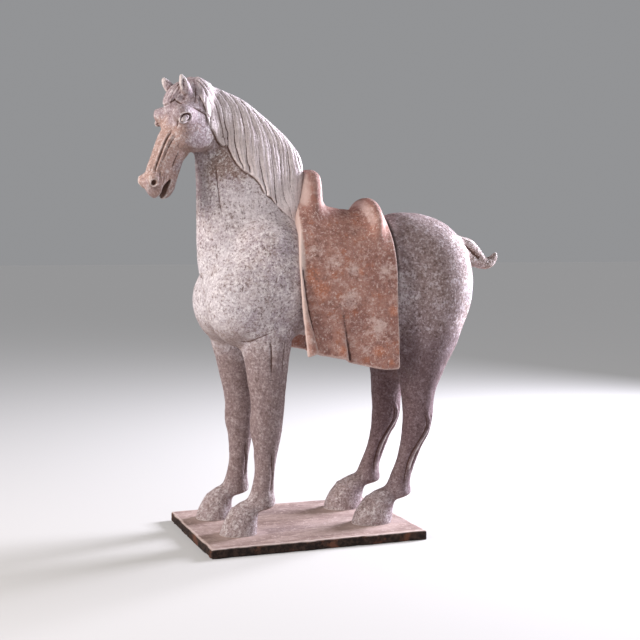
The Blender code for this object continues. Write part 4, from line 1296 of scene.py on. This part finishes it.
# %% Unglazed slab earthenware
slab, tree, shader, place, stored = open_material("unglazed_slab_earthenware", 0.92)
facing = add(tree, "SeparateXYZ", {0: add(tree, "NewGeometry", out="Normal")}, out="Z")
drawn = add(tree, "VectorMath", {0: place, 1: (0.35, 1.0, 1.0)}, operation="MULTIPLY")
streak = add(tree, "TexNoise", {"Vector": drawn, "Scale": 1 / 22, "Detail": 7, "Roughness": 0.68})
broad = add(tree, "TexNoise", {"Vector": place, "Scale": 1 / 30, "Detail": 6, "Roughness": 0.7})
crust = add(tree, "TexNoise", {"Vector": place, "Scale": 1 / 7, "Detail": 9, "Roughness": 0.78})
top_colour = coat(tree, "#826c66", "#98837c", streak, 0.42, 0.58)
top_colour = coat(tree, top_colour, "#bda9a3", crust, 0.53, 0.62, 0.6)
top_colour = coat(tree, top_colour, "#7c645c", crust, 0.46, 0.37, 0.6)
for x, y, long, wide in HOOF_SMEARS:
    away = add(tree, "VectorMath", {0: place, 1: (x, y, SLAB[2])}, out="Value", operation="DISTANCE")
    top_colour = coat(tree, top_colour, "#aa948e", away, 1.5 * long, 0.8 * long, 0.6)
top_colour = coat(tree, top_colour, "#d8c6c0", stored["hollow"], -0.2, -0.6, 0.45)
side_colour = coat(tree, "#211917", "#3f302a", crust, 0.44, 0.60)
side_colour = coat(tree, side_colour, "#6a4435", broad, 0.52, 0.64, 0.8)
upward = add(tree, "MapRange", {"Value": facing, "From Min": 0.3, "From Max": 0.75})
colour = add(tree, "Mix", {0: upward, 6: side_colour, 7: top_colour}, out=2, data_type="RGBA")
tree.links.new(colour, shader.inputs["Base Color"])
slab_height = add(tree, "Math", {0: crust, 1: streak}, operation="ADD")
bump = add(tree, "Bump", {"Strength": 0.9, "Distance": 1.4 * MM, "Height": slab_height})
tree.links.new(bump, shader.inputs["Normal"])
dress(plinth, slab)
print(slab.name, "has", len(tree.nodes), "nodes")

# %% [markdown]
# The stage is a pale seamless floor. The light follows the photograph: a broad light from the left whitens the chest
# and neck, a second from behind right edges the rump, and a weak fill leaves the flank that faces the camera in
# half shade, so that its texture shows.


# %% Floor
ROOM = "#d9dadd"


def floor_sheet(half):
    """A wide sheet of paper. It glows a little, so that far off it is as bright as the room behind it."""
    mesh = bpy.data.meshes.new("floor")
    mesh.from_pydata([(-half, -half, 0), (half, -half, 0), (half, half, 0), (-half, half, 0)], [], [(0, 1, 2, 3)])
    sheet = bpy.data.objects.new("floor", mesh)
    bpy.context.scene.collection.objects.link(sheet)
    paper = bpy.data.materials.new("pale_studio_paper")
    paper.use_nodes = True
    surface = paper.node_tree.nodes["Principled BSDF"]
    surface.inputs["Base Color"].default_value = linear("#a19e9b")
    surface.inputs["Roughness"].default_value = 0.95
    surface.inputs["Specular IOR Level"].default_value = 0.1
    surface.inputs["Emission Color"].default_value = linear(ROOM)
    surface.inputs["Emission Strength"].default_value = 0.28
    mesh.materials.append(paper)
    return sheet


floor = floor_sheet(20.0)
print("floor 40 m wide")


# %% Lights
def softbox(name, place, aim, size, power, tint):
    """A square lamp that looks at a point."""
    data = bpy.data.lights.new(name, "AREA")
    data.size = size
    data.energy = power
    data.color = linear(tint)[:3]
    box = bpy.data.objects.new(name, data)
    bpy.context.scene.collection.objects.link(box)
    box.location = place
    box.rotation_euler = (Vector(aim) - Vector(place)).to_track_quat("-Z", "Y").to_euler()


softbox("left_light", (-1.75, -0.35, 1.0), (-0.05, 0, 0.33), 0.8, 42, "#fff8f2")
softbox("back_light", (1.55, 0.30, 0.75), (0.12, 0, 0.3), 0.6, 130, "#eef0ff")
softbox("fill_light", (0.5, -2.1, 1.3), (0.03, 0, 0.27), 1.6, 9, "#fff9f4")
world = bpy.data.worlds.new("studio")
bpy.context.scene.world = world
world.use_nodes = True
world.node_tree.nodes["Background"].inputs["Color"].default_value = linear(ROOM)
world.node_tree.nodes["Background"].inputs["Strength"].default_value = 0.42
bpy.context.scene.view_settings.view_transform = "Standard"
print("three soft lights in a dim pale room")
